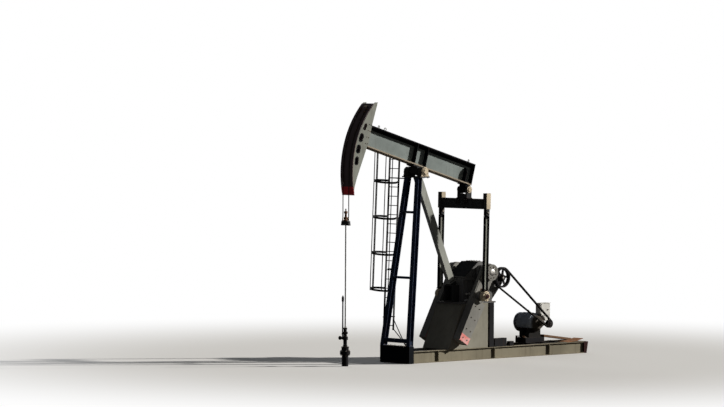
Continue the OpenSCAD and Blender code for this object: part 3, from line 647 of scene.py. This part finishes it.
def cover(piece, at, direction, radius, depth):
    """A round bearing cover: a flange with a lip, a raised middle and a rounded edge."""
    lip = 0.012
    piece.lathe(at, direction,
                [(0, 0), (radius, 0), (radius, lip), (radius * 0.985, lip + 0.003),
                 (radius * 0.66, lip + 0.003), (radius * 0.62, depth - 0.006), (radius * 0.58, depth),
                 (0, depth)], 40)


def nipple(piece, at, direction):
    """A grease nipple."""
    piece.lathe(at, direction, [(0.009, 0), (0.009, 0.008), (0.005, 0.01), (0.005, 0.018),
                                (0.0065, 0.021), (0.004, 0.026), (0, 0.027)], 10)


def weld(piece, start, end, radius):
    """A weld bead that wanders a little."""
    start, end = Vector(start), Vector(end)
    count = max(3, int((end - start).length / 0.03))
    side = (end - start).normalized().orthogonal().normalized()
    piece.tube([start.lerp(end, k / count) + side * random.uniform(-0.1, 0.1) * radius
                for k in range(count + 1)], radius, 6)


def lifting_eye(piece, at, ring, bar, turn):
    """A forged eye standing on a collar."""
    at = Vector(at)
    piece.lathe(at, Z, [(0.028, 0), (0.028, 0.012), (0.016, 0.02), (0.014, 0.03), (0, 0.03)], 16)
    piece.tube([at + Vector((cos(turn) * ring * cos(t), sin(turn) * ring * cos(t),
                             0.024 + ring + ring * sin(t))) for t in turns(20)], bar, 8, closed=True)


def stranded(piece, path, radius):
    """A rope of twisted strands along a path of points."""
    strands = [[] for _ in range(STRANDS)]
    run, last = 0.0, path[0]
    for p, normal, side in along_path(path):
        run += (p - last).length
        last = p
        for k, strand in enumerate(strands):
            t = 2 * pi * (k / STRANDS + run / STRAND_PITCH)
            strand.append(p + (normal * cos(t) + side * sin(t)) * radius * 0.62)
    for strand in strands:
        piece.tube(strand, radius * 0.36, 5)


# Sizes shared with the model, in metres: x along the unit, y across it, z up

RUNNER_Y, BASE_H, BLOCK_TOP = 0.475, 0.345, 0.5
CROSS_X = (0, 0.92, 2.67, 4.81, 5.47, 6.1)
STIFFENER_X = (0.43, 2.76, 5.09)
CAP_TOP, CAP_T = PIVOT.z - 0.135, 0.04
HOUSING_Y = 0.38
LEG_FOOT, LEG_RUN = (-0.75, 0.54), (0.634, -0.315)
GIRT_Z = (0.65, 2.475, 4.37)
REAR_FOOT = tilted((1.45, 0, 2.275), atan2(-1.41, 3.17))
LADDER_Y, LADDER_FOOT, LADDER_RUN = 0.875, (-0.24, 0.9), (0.225, 5.25)
STANDOFF_Z = (1.3, 2.7, 5.342)
HOOP_TILT = radians(6)
HOOP_Z = (2.067, 3.117, 4.167, 5.217)
GEAR_FOOT, GEAR_SPLIT, GEAR_Y = 1.7, 2.38, 0.35
GEAR_X, FOOT_X1 = (1.625, 3.242), 2.78
SHAFT_BOSS_Y, INPUT_BOSS_Y = 0.47, 0.385
RAIL_TOP = 0.495
MOTOR_FEET_Y = (0.18, 0.48)
MOTOR_R, MOTOR_FRONT, MOTOR_BACK, MOTOR_END = 0.28, 0.1, 0.74, 0.83
BELT_Y = -0.465
# From here on in the frames of the moving bodies, the horsehead's angles in degrees
BEAM_FRONT, BEAM_END = -2.3, 2.14
HEAD_Y, HEAD_PLATE_Y, FACE_R = 0.244, 0.2508, HEAD_R - 0.0153
HEAD_LOW, HEAD_HIGH, ROPE_TOP = -28.9, 30.0, 27.0
ROPE_Y, ROPE_R = (-0.12, 0.12), 0.015
EQ_MIDDLE, FORK_PIN, PITMAN_Y = -0.41, -0.66, 0.94
CRANK_IN, CRANK_OUT, WEIGHT_OUT = 0.58, 0.71, 0.85


def leg_place(z):
    """Where the middle of the far front leg stands at a height: x and y."""
    f = (z - BLOCK_TOP) / (CAP_TOP - CAP_T - BLOCK_TOP)
    return LEG_FOOT[0] + LEG_RUN[0] * f, LEG_FOOT[1] + LEG_RUN[1] * f


def ladder_x(z):
    """Where the ladder's rails stand at a height."""
    return LADDER_FOOT[0] + LADDER_RUN[0] * (z - LADDER_FOOT[1]) / LADDER_RUN[1]


# Base

def base_fittings():
    bolts = Piece("base_bolts", ROOT)
    for s in SIDES:
        for x, dx in product(CROSS_X, (-0.045, 0.045)):
            bolts.bolt((x + dx, s * (RUNNER_Y - 0.035), BASE_H), Z, 0.013)
        for x, y in product((-0.78, -0.69), (0.13, 0.3)):
            bolts.bolt((x, s * y, BLOCK_TOP), Z, 0.015)
    welds = Piece("base_welds", ROOT, "base")
    for s, x, dx in product(SIDES, STIFFENER_X, (-0.011, 0.011)):
        y = s * (RUNNER_Y + 0.01)
        weld(welds, (x + dx, y, 0.03), (x + dx, y, BASE_H - 0.03), 0.006)


base_fittings()


# Samson post and ladder

def post_fittings():
    bolts = Piece("post_bolts", ROOT)
    foot_x, foot_y = leg_place(BLOCK_TOP)
    for s in SIDES:
        for dx, dy in product((-0.03, 0.03), (-0.042, 0.059)):
            bolts.stud((foot_x + dx, s * (foot_y + dy), BLOCK_TOP + 0.02), Z, 0.01, 0.02)
        for x, y in product((-0.142, 0.142), (0.21, 0.285, 0.36)):
            bolts.bolt((x, s * y, CAP_TOP + 0.045), Z, 0.0085, washer=False)
        for x in (-0.02, 0.14):
            bolts.bolt((x, s * 0.345, CAP_TOP - CAP_T), -Z, 0.014)
    seat = Piece("rear_leg_bolts", ROOT, base=REAR_FOOT)
    for x, y in product((-0.08, 0.08), (-0.078, 0.078)):
        seat.bolt((x, y, 0.018), Z, 0.009)
    caps = Piece("centre_bearing_covers", ROOT, "cream")
    ring = Piece("centre_bearing_bolts", ROOT)
    for s in SIDES:
        cover(caps, (0, s * HOUSING_Y, PIVOT.z), Y * s, 0.118, 0.04)
        ring_bolts(ring, (0, s * (HOUSING_Y + 0.015), PIVOT.z), Y * s, 0.097, 8, 0.009, 0.2)
        nipple(ring, (0.03, s * 0.29, PIVOT.z + 0.132), Z)
        for x, y in product((-0.14, 0.14), (0.225, 0.345)):
            ring.bolt((x, s * y, PIVOT.z - 0.004), Z, 0.009)
    # the lugs take the housings' near-black painted shade
    lugs = Piece("housing_split_lugs", ROOT, "housing")
    for s, x in product(SIDES, (-0.138, 0.138)):
        lugs.block((x, s * 0.285, PIVOT.z - 0.02), (0.034, 0.17, 0.032), 0.004)
    plates = Piece("girt_bolts", ROOT)
    for z, s, dz in product(GIRT_Z, SIDES, (-0.02, 0.02)):
        x, y = leg_place(z)
        plates.bolt((x - 0.035, s * (y - 0.09), z + dz), -X, 0.009)


def ladder_fittings():
    bolts = Piece("ladder_bolts", ROOT)
    for z, y in product(STANDOFF_Z, (0.648, 0.666)):
        bolts.bolt((min(leg_place(z)[0], ladder_x(z)) - 0.018, y, z), -X, 0.007)
    for z, s, dz in product(HOOP_Z, SIDES, (0.016, 0.044)):
        y = s * 0.2065
        bolts.bolt((ladder_x(z - 0.022) - 0.045, LADDER_Y + y * cos(HOOP_TILT) - dz * sin(HOOP_TILT),
                    z + y * sin(HOOP_TILT) + dz * cos(HOOP_TILT)), Y * s, 0.007)
    braces = Piece("ladder_foot_braces", ROOT, "dark")
    for top, x in ((1.2, 0.14), (0.93, 0.22)):
        braces.tube([(ladder_x(top) + 0.01, 0.675, top), (x, 0.5, BASE_H + 0.012)], 0.014, 10)
        braces.block((x, 0.5, BASE_H + 0.007), (0.07, 0.07, 0.012), 0.002)


def rear_leg_plates():
    """Cover plates on both open sides of the rear leg."""
    plates = Piece("rear_leg_plates", ROOT, "rear_leg", REAR_FOOT)
    for s in SIDES:
        plates.block((0, s * 0.0605, 1.69), (0.222, 0.012, 3.28), 0.002)


post_fittings()
ladder_fittings()
rear_leg_plates()


# Gearbox and its pedestal

def cover_top(x):
    """Height of the gearbox cover's slopes at a place along the unit."""
    (start_x, start_z), (along, up) = (COVER_FRONT, COVER_RISE) if x < 2.3 else (COVER_BACK, COVER_FALL)
    return start_z + up * (x - start_x) / along


def gearbox_fittings():
    bolts = Piece("gearbox_bolts", ROOT)
    for s in SIDES:
        for x in span(GEAR_X[0] + 0.08, GEAR_X[1] - 0.08, 11):
            if abs(x - SHAFT.x) > 0.23 and abs(x - INPUT.x) > 0.14:
                bolts.stud((x, s * (GEAR_Y + 0.018), GEAR_SPLIT + 0.04), Z, 0.012, 0.012)
                bolts.bolt((x, s * (GEAR_Y + 0.018), GEAR_SPLIT - 0.04), -Z, 0.012)
        for x in span(GEAR_X[0] + 0.1, FOOT_X1 - 0.08, 5):
            bolts.stud((x, s * 0.45, GEAR_FOOT), Z, 0.016, 0.03)
        ring_bolts(bolts, (SHAFT.x, s * (SHAFT_BOSS_Y + 0.0025), SHAFT.z), Y * s, 0.178, 10, 0.011, 0.3)
        ring_bolts(bolts, (INPUT.x, s * (INPUT_BOSS_Y + 0.0025), INPUT.z), Y * s, 0.098, 6, 0.008, 0.1)
    covers = Piece("gearbox_covers", ROOT, "gearbox")
    for s in SIDES:
        covers.lathe((SHAFT.x, s * SHAFT_BOSS_Y, SHAFT.z), Y * s,
                     [(0.125, -0.01), (0.205, -0.01), (0.205, 0), (0.2, 0.004), (0.15, 0.004),
                      (0.14, 0.02), (0.125, 0.022), (0.125, -0.01)], 48)
        covers.lathe((INPUT.x, s * INPUT_BOSS_Y, INPUT.z), Y * s,
                     [(0.048, -0.01), (0.118, -0.01), (0.118, 0), (0.115, 0.004), (0.075, 0.004),
                      (0.07, 0.014), (0.048, 0.015), (0.048, -0.01)], 36)
    for s in SIDES:
        for x in (1.8, 2.88):
            covers.block((x, s * (GEAR_Y + 0.012), 2.08), (0.022, 0.03, 0.5), 0.004)
        for x in (2.02, 2.68, 2.94):
            low, high = GEAR_SPLIT + 0.04, cover_top(x) - 0.03
            covers.block((x, s * (GEAR_Y + 0.01), (low + high) / 2), (0.02, 0.026, high - low), 0.004)
    covers.block((2.375, 0, COVER_BACK[1] + 0.008), (0.23, 0.4, 0.018), 0.005)
    extras = Piece("gearbox_top_bolts", ROOT)
    for x, y in product((2.285, 2.465), span(-0.17, 0.17, 4)):
        extras.bolt((x, y, COVER_BACK[1] + 0.017), Z, 0.009)
    for x, z in ((1.99, 1.78), (2.68, 1.8)):
        extras.lathe((x, -GEAR_Y, z), -Y,
                     [(0.026, 0), (0.026, 0.012), (0.017, 0.014), (0.017, 0.03), (0, 0.03)], 6)
    pipes = Piece("gearbox_oil_pipes", ROOT, "white")
    for x, z, run in ((1.86, 1.95, 0.12), (1.76, 1.76, 0.07)):
        y, low = -GEAR_Y - 0.032, z - 0.01
        pipes.tube([(x, -GEAR_Y, z), (x, y, z), (x - run * 0.3, y, low), (x - run, y, low)], 0.02, 10)
        pipes.lathe((x, -GEAR_Y, z), -Y, disc(0.034, 0.014), 16)
        pipes.lathe((x - run, y, low), -X, [(0, 0), (0.03, 0), (0.03, 0.03), (0, 0.034)], 16)
    glass = Piece("gearbox_sight_glass", ROOT, "steel")
    glass.lathe((2.2, -GEAR_Y, 1.92), -Y,
                [(0.034, 0), (0.034, 0.012), (0.026, 0.014), (0.022, 0.009), (0, 0.009)], 24)


def pedestal_fittings():
    welds = Piece("pedestal_welds", ROOT, "base")
    for s in SIDES:
        weld(welds, (0.86, s * 0.545, 0.349), (2.45, s * 0.545, 0.349), 0.007)
        weld(welds, (0.852, s * 0.547, 0.35), (1.433, s * 0.547, 1.655), 0.006)
    bolts = Piece("pedestal_bolts", ROOT)
    for s, x in product(SIDES, (2.585, 2.665)):
        bolts.bolt((x, s * 0.48, GEAR_FOOT), Z, 0.012)


gearbox_fittings()
pedestal_fittings()


# Motor, rails and belts

def motor_fittings():
    fins = Piece("motor_fins", ROOT, "motor")
    fin_y = (MOTOR_FRONT + 0.06 + MOTOR_BACK - 0.14) / 2
    for t in turns(44):
        over_feet = sin(t) < -0.72
        at_box = cos(t) > 0.1 and sin(t) > 0.15
        if not over_feet and not at_box:
            fins.block(Vector((MOTOR.x, fin_y, MOTOR.z)) + spoke(t) * (MOTOR_R + 0.006),
                       (0.026, MOTOR_BACK - MOTOR_FRONT - 0.2, 0.008), 0.0, -t)
    low, high = MOTOR_R - 0.02, MOTOR_R + 0.011
    for y in (MOTOR_FRONT + 0.012, MOTOR_BACK - 0.13, MOTOR_BACK - 0.006):
        fins.lathe((MOTOR.x, y, MOTOR.z), Y,
                   [(low, -0.01), (high, -0.01), (MOTOR_R + 0.013, 0), (high, 0.01), (low, 0.01)], 56)
    fins.lathe((MOTOR.x, -0.198, MOTOR.z), -Y,
               [(0.032, -0.002), (0.092, -0.002), (0.092, 0.006), (0.075, 0.014), (0.04, 0.016),
                (0.032, 0.016)], 40)
    vents = Piece("motor_louvres", ROOT, "black")
    for t in turns(40):
        vents.block(Vector((MOTOR.x, MOTOR_BACK - 0.066, MOTOR.z)) + spoke(t) * (MOTOR_R + 0.001),
                    (0.008, 0.085, 0.024), 0.002, -t)
    grille = Piece("motor_fan_cover", ROOT, "motor")
    centre = Vector((MOTOR.x, MOTOR_END + 0.003, MOTOR.z))
    for ring in (0.05, 0.09, 0.13, 0.17, 0.2):
        grille.tube([centre + spoke(t) * ring for t in turns(36)], 0.0045, 6, closed=True)
    for t in turns(8):
        grille.tube([centre + spoke(t) * 0.02, centre + spoke(t) * 0.202], 0.005, 6)
    bolts = Piece("motor_bolts", ROOT)
    ring_bolts(bolts, (MOTOR.x, -0.075, MOTOR.z), -Y, 0.14, 6, 0.01, 0.39)
    for x, y in product((-0.235, 0.235), MOTOR_FEET_Y):
        bolts.stud((MOTOR.x + x, y, 0.76), Z, 0.011, 0.02)
    lifting_eye(bolts, (MOTOR.x, 0.4, MOTOR.z + 0.275), 0.034, 0.009, 0.0)
    for x, y in product((-0.34, -0.28, 0.28, 0.34), MOTOR_FEET_Y):
        bolts.stud((MOTOR.x + x, y, RAIL_TOP), Z, 0.011, 0.02)
    screws = Piece("motor_slide_screws", ROOT, "rusty")
    for y in MOTOR_FEET_Y:
        y += 0.035
        screws.tube([(MOTOR.x - 0.25, y, 0.53), (MOTOR.x - 0.43, y, 0.53)], 0.011, 8)
        screws.block((MOTOR.x - 0.385, y, 0.522), (0.026, 0.06, 0.055), 0.004)


def terminal_box_fittings():
    low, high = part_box("motor_terminal_box")
    mid, wide = (low + high) / 2, high - low
    door = Piece("terminal_box_door", ROOT, "white")
    door.block((mid.x, low.y - 0.006, mid.z + 0.08), (wide.x - 0.05, 0.012, 0.36), 0.004)
    door.block((mid.x, mid.y, high.z + 0.006), (wide.x + 0.03, wide.y + 0.03, 0.012), 0.003)
    bolts = Piece("terminal_box_screws", ROOT)
    for dx, dz in product((-0.16, 0.16), (-0.08, 0.24)):
        bolts.bolt((mid.x + dx, low.y - 0.012, mid.z + dz), -Y, 0.007)
    bolts.lathe((mid.x + 0.1, low.y - 0.012, mid.z + 0.07), -Y,
                [(0.022, 0), (0.022, 0.01), (0.012, 0.014), (0.012, 0.03), (0, 0.03)], 16)


def plank_and_plate():
    """The board that leans from a motor rail to the base, and the bent plate beside it."""
    high, low = Vector((5.505, 0, RAIL_TOP + 0.041)), Vector((6.7, 0, BASE_H + 0.037))
    along = high - low
    length = along.length
    leaning = tilted((high + low) / 2, atan2(-along.z, along.x))
    board = Piece("plank_board", ROOT, "wood", leaning)
    for k, y in enumerate(span(0.135, 0.285, 3)):
        board.block((0.008 * (k - 1), y, 0.0), (length, 0.0735, 0.068), 0.006)
    plate = Piece("plank_plate", ROOT, "orange")
    start, end = 5.92, 6.6
    curve = [(x, BASE_H + 0.004 + 0.085 * ((x - start) / (end - start)) ** 2)
             for x in span(start, end, 14)]
    plate.plate(curve + [(x, z + 0.01) for x, z in reversed(curve)], -0.5, -0.1)
    nails = Piece("plank_nails", ROOT, "rusty", leaning)
    for x, y in product((-length / 2 + 0.05, length / 2 - 0.05), (0.12, 0.15, 0.2, 0.22, 0.27, 0.3)):
        nails.lathe((x, y, 0.0335), Z, [(0.009, 0), (0.008, 0.003), (0, 0.004)], 10)


def sheave_fittings():
    hub = Piece("sheave_hub", SHEAVE, "black")
    edge = BELT_Y - 0.058
    hub.lathe((INPUT.x, edge, INPUT.z), -Y,
              [(0.042, 0), (0.088, 0), (0.088, 0.004), (0.07, 0.02), (0.05, 0.022), (0.042, 0.022),
               (0.042, 0)], 32)
    for y, dy in product(span(BELT_Y - 0.0375, BELT_Y + 0.0375, 4), (-0.0105, 0.0105)):
        hub.lathe((INPUT.x, y + dy, INPUT.z), Y,
                  [(0.25, -0.0015), (0.2957, -0.0015), (0.2957, 0.0015), (0.25, 0.0015)], 72)
    bolts = Piece("sheave_bolts", SHEAVE)
    ring_bolts(bolts, (INPUT.x, edge - 0.006, INPUT.z), -Y, 0.066, 3, 0.009, 0.5)
    drum = Piece("brake_drum_bolts", SHEAVE)
    ring_bolts(drum, (INPUT.x, 0.43, INPUT.z), Y, 0.09, 6, 0.01)
    small = Piece("pulley_hub", PULLEY, "black")
    small.lathe((MOTOR.x, edge, MOTOR.z), -Y,
                [(0, 0), (0.06, 0), (0.06, 0.01), (0.05, 0.018), (0, 0.018)], 28)
    keys = Piece("pulley_bolts", PULLEY)
    ring_bolts(keys, (MOTOR.x, edge - 0.018, MOTOR.z), -Y, 0.034, 3, 0.007)


motor_fittings()
terminal_box_fittings()
plank_and_plate()
sheave_fittings()


# Wellhead

def wellhead_fittings():
    studs = Piece("wellhead_studs", ROOT)
    for spot in around((ROD_X, 0, 0.43), Z, 0.126, 8, 0.2):
        studs.stud(spot, Z, 0.013, 0.025)
        studs.stud((spot.x, spot.y, 0.34), -Z, 0.013, 0.025)
    for s in SIDES:
        studs.stud((ROD_X + s * 0.044, 0, 1.1), Z, 0.008, 0.03)
    collars = Piece("wellhead_collars", ROOT, "black")
    for radius, low, high in ((0.113, 0.435, 0.455), (0.113, 0.53, 0.56), (0.066, 0.565, 0.6),
                              (0.066, 0.82, 0.858), (0.055, 0.865, 0.895)):
        deep = high - low
        collars.lathe((ROD_X, 0, low), Z,
                      [(0.03, 0), (radius - 0.004, 0), (radius, 0.004), (radius, deep - 0.004),
                       (radius - 0.004, deep), (0.03, deep)], 40)
    collars.lathe((ROD_X, 0.2, 0.8), Y, [(0.03, 0), (0.056, 0), (0.056, 0.03), (0, 0.032)], 32)
    for z, deep in ((0.9, 0.05), (1.84, 0.03)):
        collars.lathe((ROD_X, 0.105, z), Z, disc(0.029, deep, 0.018), 20)
    for t in turns(8):
        collars.block((ROD_X + 0.067 * cos(t), 0.067 * sin(t), 0.955), (0.014, 0.014, 0.06),
                      0.003, t, "Z")


wellhead_fittings()


# Walking beam, horsehead and tail bracket

def beam_fittings():
    bolts = Piece("beam_bolts", BEAM)
    for s in SIDES:
        for x in (-0.21, -0.07, 0.07, 0.25):
            bolts.stud((x, s * 0.115, BEAM_LOW + FLANGE_T), Z, 0.015, 0.02)
            bolts.bolt((x, s * 0.115, BEAM_LOW - 0.035), -Z, 0.015)
        for x in (1.93, 1.99, 2.05, 2.11):
            bolts.stud((x, s * 0.1, BEAM_LOW + FLANGE_T), Z, 0.014, 0.02)
        for z in (BEAM_LOW + 0.09, BEAM_LOW + 0.32, BEAM_HIGH - 0.09):
            bolts.bolt((BEAM_END + 0.0223, s * 0.1, z), X, 0.013)
    eyes = Piece("beam_lifting_eyes", BEAM, "head")
    for x, turn in ((-1.8, 0.3), (-1.54, 0.0), (2.0, 0.4)):
        lifting_eye(eyes, (x, 0, BEAM_HIGH), 0.04, 0.011, turn)
    welds = Piece("beam_welds", BEAM, "beam")
    for s, z in product(SIDES, (BEAM_LOW + FLANGE_T, BEAM_HIGH - FLANGE_T)):
        y = s * WEB_T / 2
        weld(welds, (BEAM_FRONT + 0.01, y, z), (BEAM_END - 0.01, y, z), 0.009)


def head_point(angle, radius):
    """A place (x, z) on the horsehead, at an angle above the beam line."""
    return -radius * cos(angle), radius * sin(angle)


def window(angle, radius):
    """Outline of a cut-out in the horsehead's side, at an angle above the beam line."""
    turn = Matrix.Rotation(radians(angle), 3, "Y")
    spots = []
    for t in turns(28):
        lift = 0.05 if sin(t) > 0 else -0.05
        spots.append(turn @ Vector((-FACE_R + 0.15 + radius * cos(t), 0, lift + radius * sin(t))))
    return [(p.x, p.z) for p in spots]


def horsehead_fittings():
    bolts = Piece("horsehead_bolts", BEAM)
    heights = (BEAM_LOW + 0.06, BEAM_LOW + 0.25, BEAM_LOW + 0.44, BEAM_HIGH - 0.02)
    for s, x, z in product(SIDES, (BEAM_FRONT - 0.03, BEAM_FRONT - 0.1), heights):
        bolts.bolt((x, s * HEAD_Y, z), Y * s, 0.012)
    rims = Piece("horsehead_rims", BEAM, "beam")
    for s in SIDES:
        spots = [head_point(radians(a), FACE_R - 0.022) for a in span(HEAD_LOW + 1.5, HEAD_HIGH - 1, 40)]
        rims.tube([(x, s * (HEAD_Y + 0.001), z) for x, z in spots], 0.007, 6)
    # near-black frames round the cut-outs: painted shade that makes the holes look larger
    hole_painted_shade = Piece("horsehead_hole_painted_shade", BEAM, "stiff")
    for s, (a, wide) in product(SIDES, ((-8, 0.026), (-0.5, 0.032), (7, 0.032), (14.5, 0.004))):
        low, high = sorted((s * (HEAD_Y - 0.001), s * (HEAD_Y + 0.003)))
        hole_painted_shade.frame_plate(window(a, 0.05), window(a, 0.05 + wide), low, high)
    anchor = Piece("rope_anchor", BEAM, "rusty")
    for y, a in product(ROPE_Y, (radians(ROPE_TOP - 4.1), radians(ROPE_TOP - 2.1))):
        x, z = head_point(a, FACE_R + 0.012)
        anchor.block((x, y, z), (0.05, 0.075, 0.035), 0.004, a)
    eye_plate = Piece("horsehead_eye_plate", BEAM, "cream")
    a = radians(27.6)
    x, z = head_point(a, FACE_R + 0.006)
    eye_plate.block((x, 0, z), (0.012, 0.12, 0.06), 0.003, a)
    band = Piece("horsehead_red_band", BEAM, "red")
    angles = [radians(a) for a in span(HEAD_LOW + 0.05, HEAD_LOW + 5.2, 8)]
    band.plate([head_point(a, FACE_R + 0.0018) for a in angles]
               + [head_point(a, FACE_R - 0.004) for a in reversed(angles)], -HEAD_PLATE_Y, HEAD_PLATE_Y)


beam_fittings()
horsehead_fittings()


# Equalizer, pitmans and wrist bearings

def equalizer_fittings():
    bolts = Piece("equalizer_bolts", EQUALIZER)
    for s in SIDES:
        for y, x in product((0.155, 0.185), (-0.078, 0.078)):
            bolts.bolt((x, s * y, EQ_MIDDLE + 0.15 + 0.022), Z, 0.012)
        for z, x in product((-0.16, -0.24, -0.36, -0.44, -0.52), SIDES):
            bolts.bolt((x * 0.085, s * PITMAN_Y, z), X * x, 0.012)
        for x, y, z in product(SIDES, (0.13, 0.21), (EQ_MIDDLE + 0.06, EQ_MIDDLE + 0.115)):
            bolts.bolt((x * 0.125, s * y, z), X * x, 0.01)
        ring_bolts(bolts, (0, s * 0.2005, 0), Y * s, 0.085, 6, 0.009, 0.5)
    plates = Piece("equalizer_plates", EQUALIZER, "black")
    for s in SIDES:
        for x in (-0.109, 0.109):
            plates.block((x, s * 0.17, EQ_MIDDLE + 0.075), (0.034, 0.13, 0.15), 0.003)
        plates.block((0, s * 0.17, EQ_MIDDLE + 0.161), (0.23, 0.1, 0.022), 0.003)
    ends = Piece("equalizer_end_plates", EQUALIZER, "cream")
    for s in SIDES:
        ends.block((0, s * 1.0115, -0.325), (0.172, 0.012, 0.466), 0.003)
        ends.block((0, s * 0.8685, -0.175), (0.168, 0.012, 0.165), 0.003)
    shaft = Piece("tail_shaft_caps", EQUALIZER, "cream")
    for s in SIDES:
        cover(shaft, (0, s * 0.2, 0), Y * s, 0.1, 0.035)
        nipple(shaft, (0, s * 0.17, 0.108), Z)


def pitman_fittings():
    bolts = Piece("pitman_bolts", EQUALIZER)
    low = -PITMAN_L + 0.15
    for s in SIDES:
        for x, y in product((-0.04, 0.04), (-0.03, 0.03)):
            bolts.bolt((x, s * PITMAN_Y + y, low + 0.022), Z, 0.01)
        for y in SIDES:
            bolts.lathe((0, s * PITMAN_Y + y * 0.062, FORK_PIN), Y * y,
                        [(0.036, 0), (0.036, 0.014), (0.028, 0.02), (0, 0.021)], 20)
    # the pitmans are near-black as painted shade; their grey paint shows on the lower webs
    feet = Piece("pitman_feet", EQUALIZER, "stiff")
    webs = Piece("pitman_web_paint", EQUALIZER, "head")
    for s in SIDES:
        feet.block((0, s * PITMAN_Y, low + 0.011), (0.19, 0.13, 0.022), 0.003)
        for y in (-0.008, 0.008):
            webs.block((0, s * PITMAN_Y + y, (low - 0.8) / 2), (0.125, 0.004, -low - 0.9))
    wrist = Piece("wrist_covers", EQUALIZER, "cream")
    centre = Piece("wrist_centre_caps", EQUALIZER, "maroon")
    ring = Piece("wrist_cover_bolts", EQUALIZER)
    for s in SIDES:
        cover(wrist, (0, s * (PITMAN_Y + 0.0625), -PITMAN_L), Y * s, 0.138, 0.045)
        centre.lathe((0, s * (PITMAN_Y + 0.1075), -PITMAN_L), Y * s,
                     [(0, 0), (0.07, 0), (0.07, 0.008), (0.06, 0.012), (0, 0.013)], 32)
        ring_bolts(ring, (0, s * (PITMAN_Y + 0.0765), -PITMAN_L), Y * s, 0.115, 8, 0.01)
        nipple(ring, (0.07, s * (PITMAN_Y + 0.02), -PITMAN_L + 0.13), Z)


equalizer_fittings()
pitman_fittings()


# Cranks and counterweights

def crank_fittings():
    bolts = Piece("crank_bolts", CRANKS)
    for s in SIDES:
        for z, x in product((-1.18, -1.55, -1.92, -2.21), (-0.09, 0.09)):
            bolts.bolt((x, s * WEIGHT_OUT, z), Y * s, 0.016)
        bolts.bolt((0, s * CRANK_IN, -0.79), -Y * s, 0.052)
        ring_bolts(bolts, (0, s * WEIGHT_OUT, 0), Y * s, 0.172, 8, 0.014, 0.2)
    caps = Piece("crankshaft_ends", CRANKS, "steel")
    for s in SIDES:
        caps.lathe((0, s * WEIGHT_OUT, 0), Y * s,
                   [(0, 0), (0.1, 0), (0.1, 0.006), (0.094, 0.01), (0.02, 0.01), (0.02, 0.006),
                    (0, 0.006)], 40)
        caps.block((0, s * (WEIGHT_OUT - 0.004), 0.122), (0.045, 0.02, 0.05), 0.003)
    bushes = Piece("crank_bushes", CRANKS, "rusty")
    for s in SIDES:
        bushes.lathe((0, s * CRANK_OUT, -0.61), Y * s,
                     [(0.046, 0), (0.062, 0), (0.062, 0.006), (0.046, 0.008), (0.046, 0)], 28)
    ribs = Piece("crank_ribs", CRANKS, "crank")
    for s, x in product(SIDES, SIDES):
        y = s * (CRANK_OUT + 0.002)
        ribs.tube([(x * 0.205, y, -0.42), (x * 0.193, y, -0.94)], 0.012, 8)


crank_fittings()


# Bridle ropes, carrier bar and polished rod

def bridle_ropes():
    wrap = Piece("bridle_rope_wrap", BEAM, "rope")
    for y in ROPE_Y:
        spots = [head_point(a, HEAD_R) for a in span(radians(ROPE_TOP), -TILT, 150)]
        stranded(wrap, [Vector((x, y, z)) for x, z in spots], ROPE_R)
    hang = Piece("bridle_rope_hang", ROD, "rope")
    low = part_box("bridle_hang")[0].z
    for y in ROPE_Y:
        stranded(hang, [Vector((ROD_X, y, z)) for z in span(PIVOT.z - 0.001, low, 90)], ROPE_R)


def carrier_fittings():
    low, high = [corner.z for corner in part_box("carrier_bar")]
    sockets = Piece("rope_sockets", ROD, "steel")
    bolts = Piece("carrier_bolts", ROD)
    for y in ROPE_Y:
        sockets.lathe((ROD_X, y, high), Z,
                      [(0.026, 0), (0.026, 0.02), (0.023, 0.03), (0.018, 0.11), (0.015, 0.125)], 20)
        sockets.lathe((ROD_X, y, low), -Z,
                      [(0, 0), (0.036, 0), (0.036, 0.002), (0.034, 0.003), (0, 0.003)], 20)
        for x in SIDES:
            bolts.bolt((ROD_X + x * 0.036, y, (low + high) / 2), X * x, 0.012)
    for z, x in product((high + 0.03, high + 0.08), (-0.032, 0.032)):
        bolts.stud((ROD_X + x, -0.048, z), -Y, 0.008, 0.01)
        bolts.bolt((ROD_X + x, 0.048, z), Y, 0.008)
    clamp = Piece("rod_clamp_jaws", ROD, "rusty")
    for s in SIDES:
        clamp.block((ROD_X, s * 0.029, high + 0.055), (0.09, 0.04, 0.1), 0.005)
        clamp.block((ROD_X, s * 0.026, high + 0.245), (0.075, 0.034, 0.06), 0.005)


bridle_ropes()
carrier_fittings()

made = {piece.name: piece.done() for piece in pieces}
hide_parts("motor_plank")
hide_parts("bridle_wrap")
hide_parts("bridle_hang")
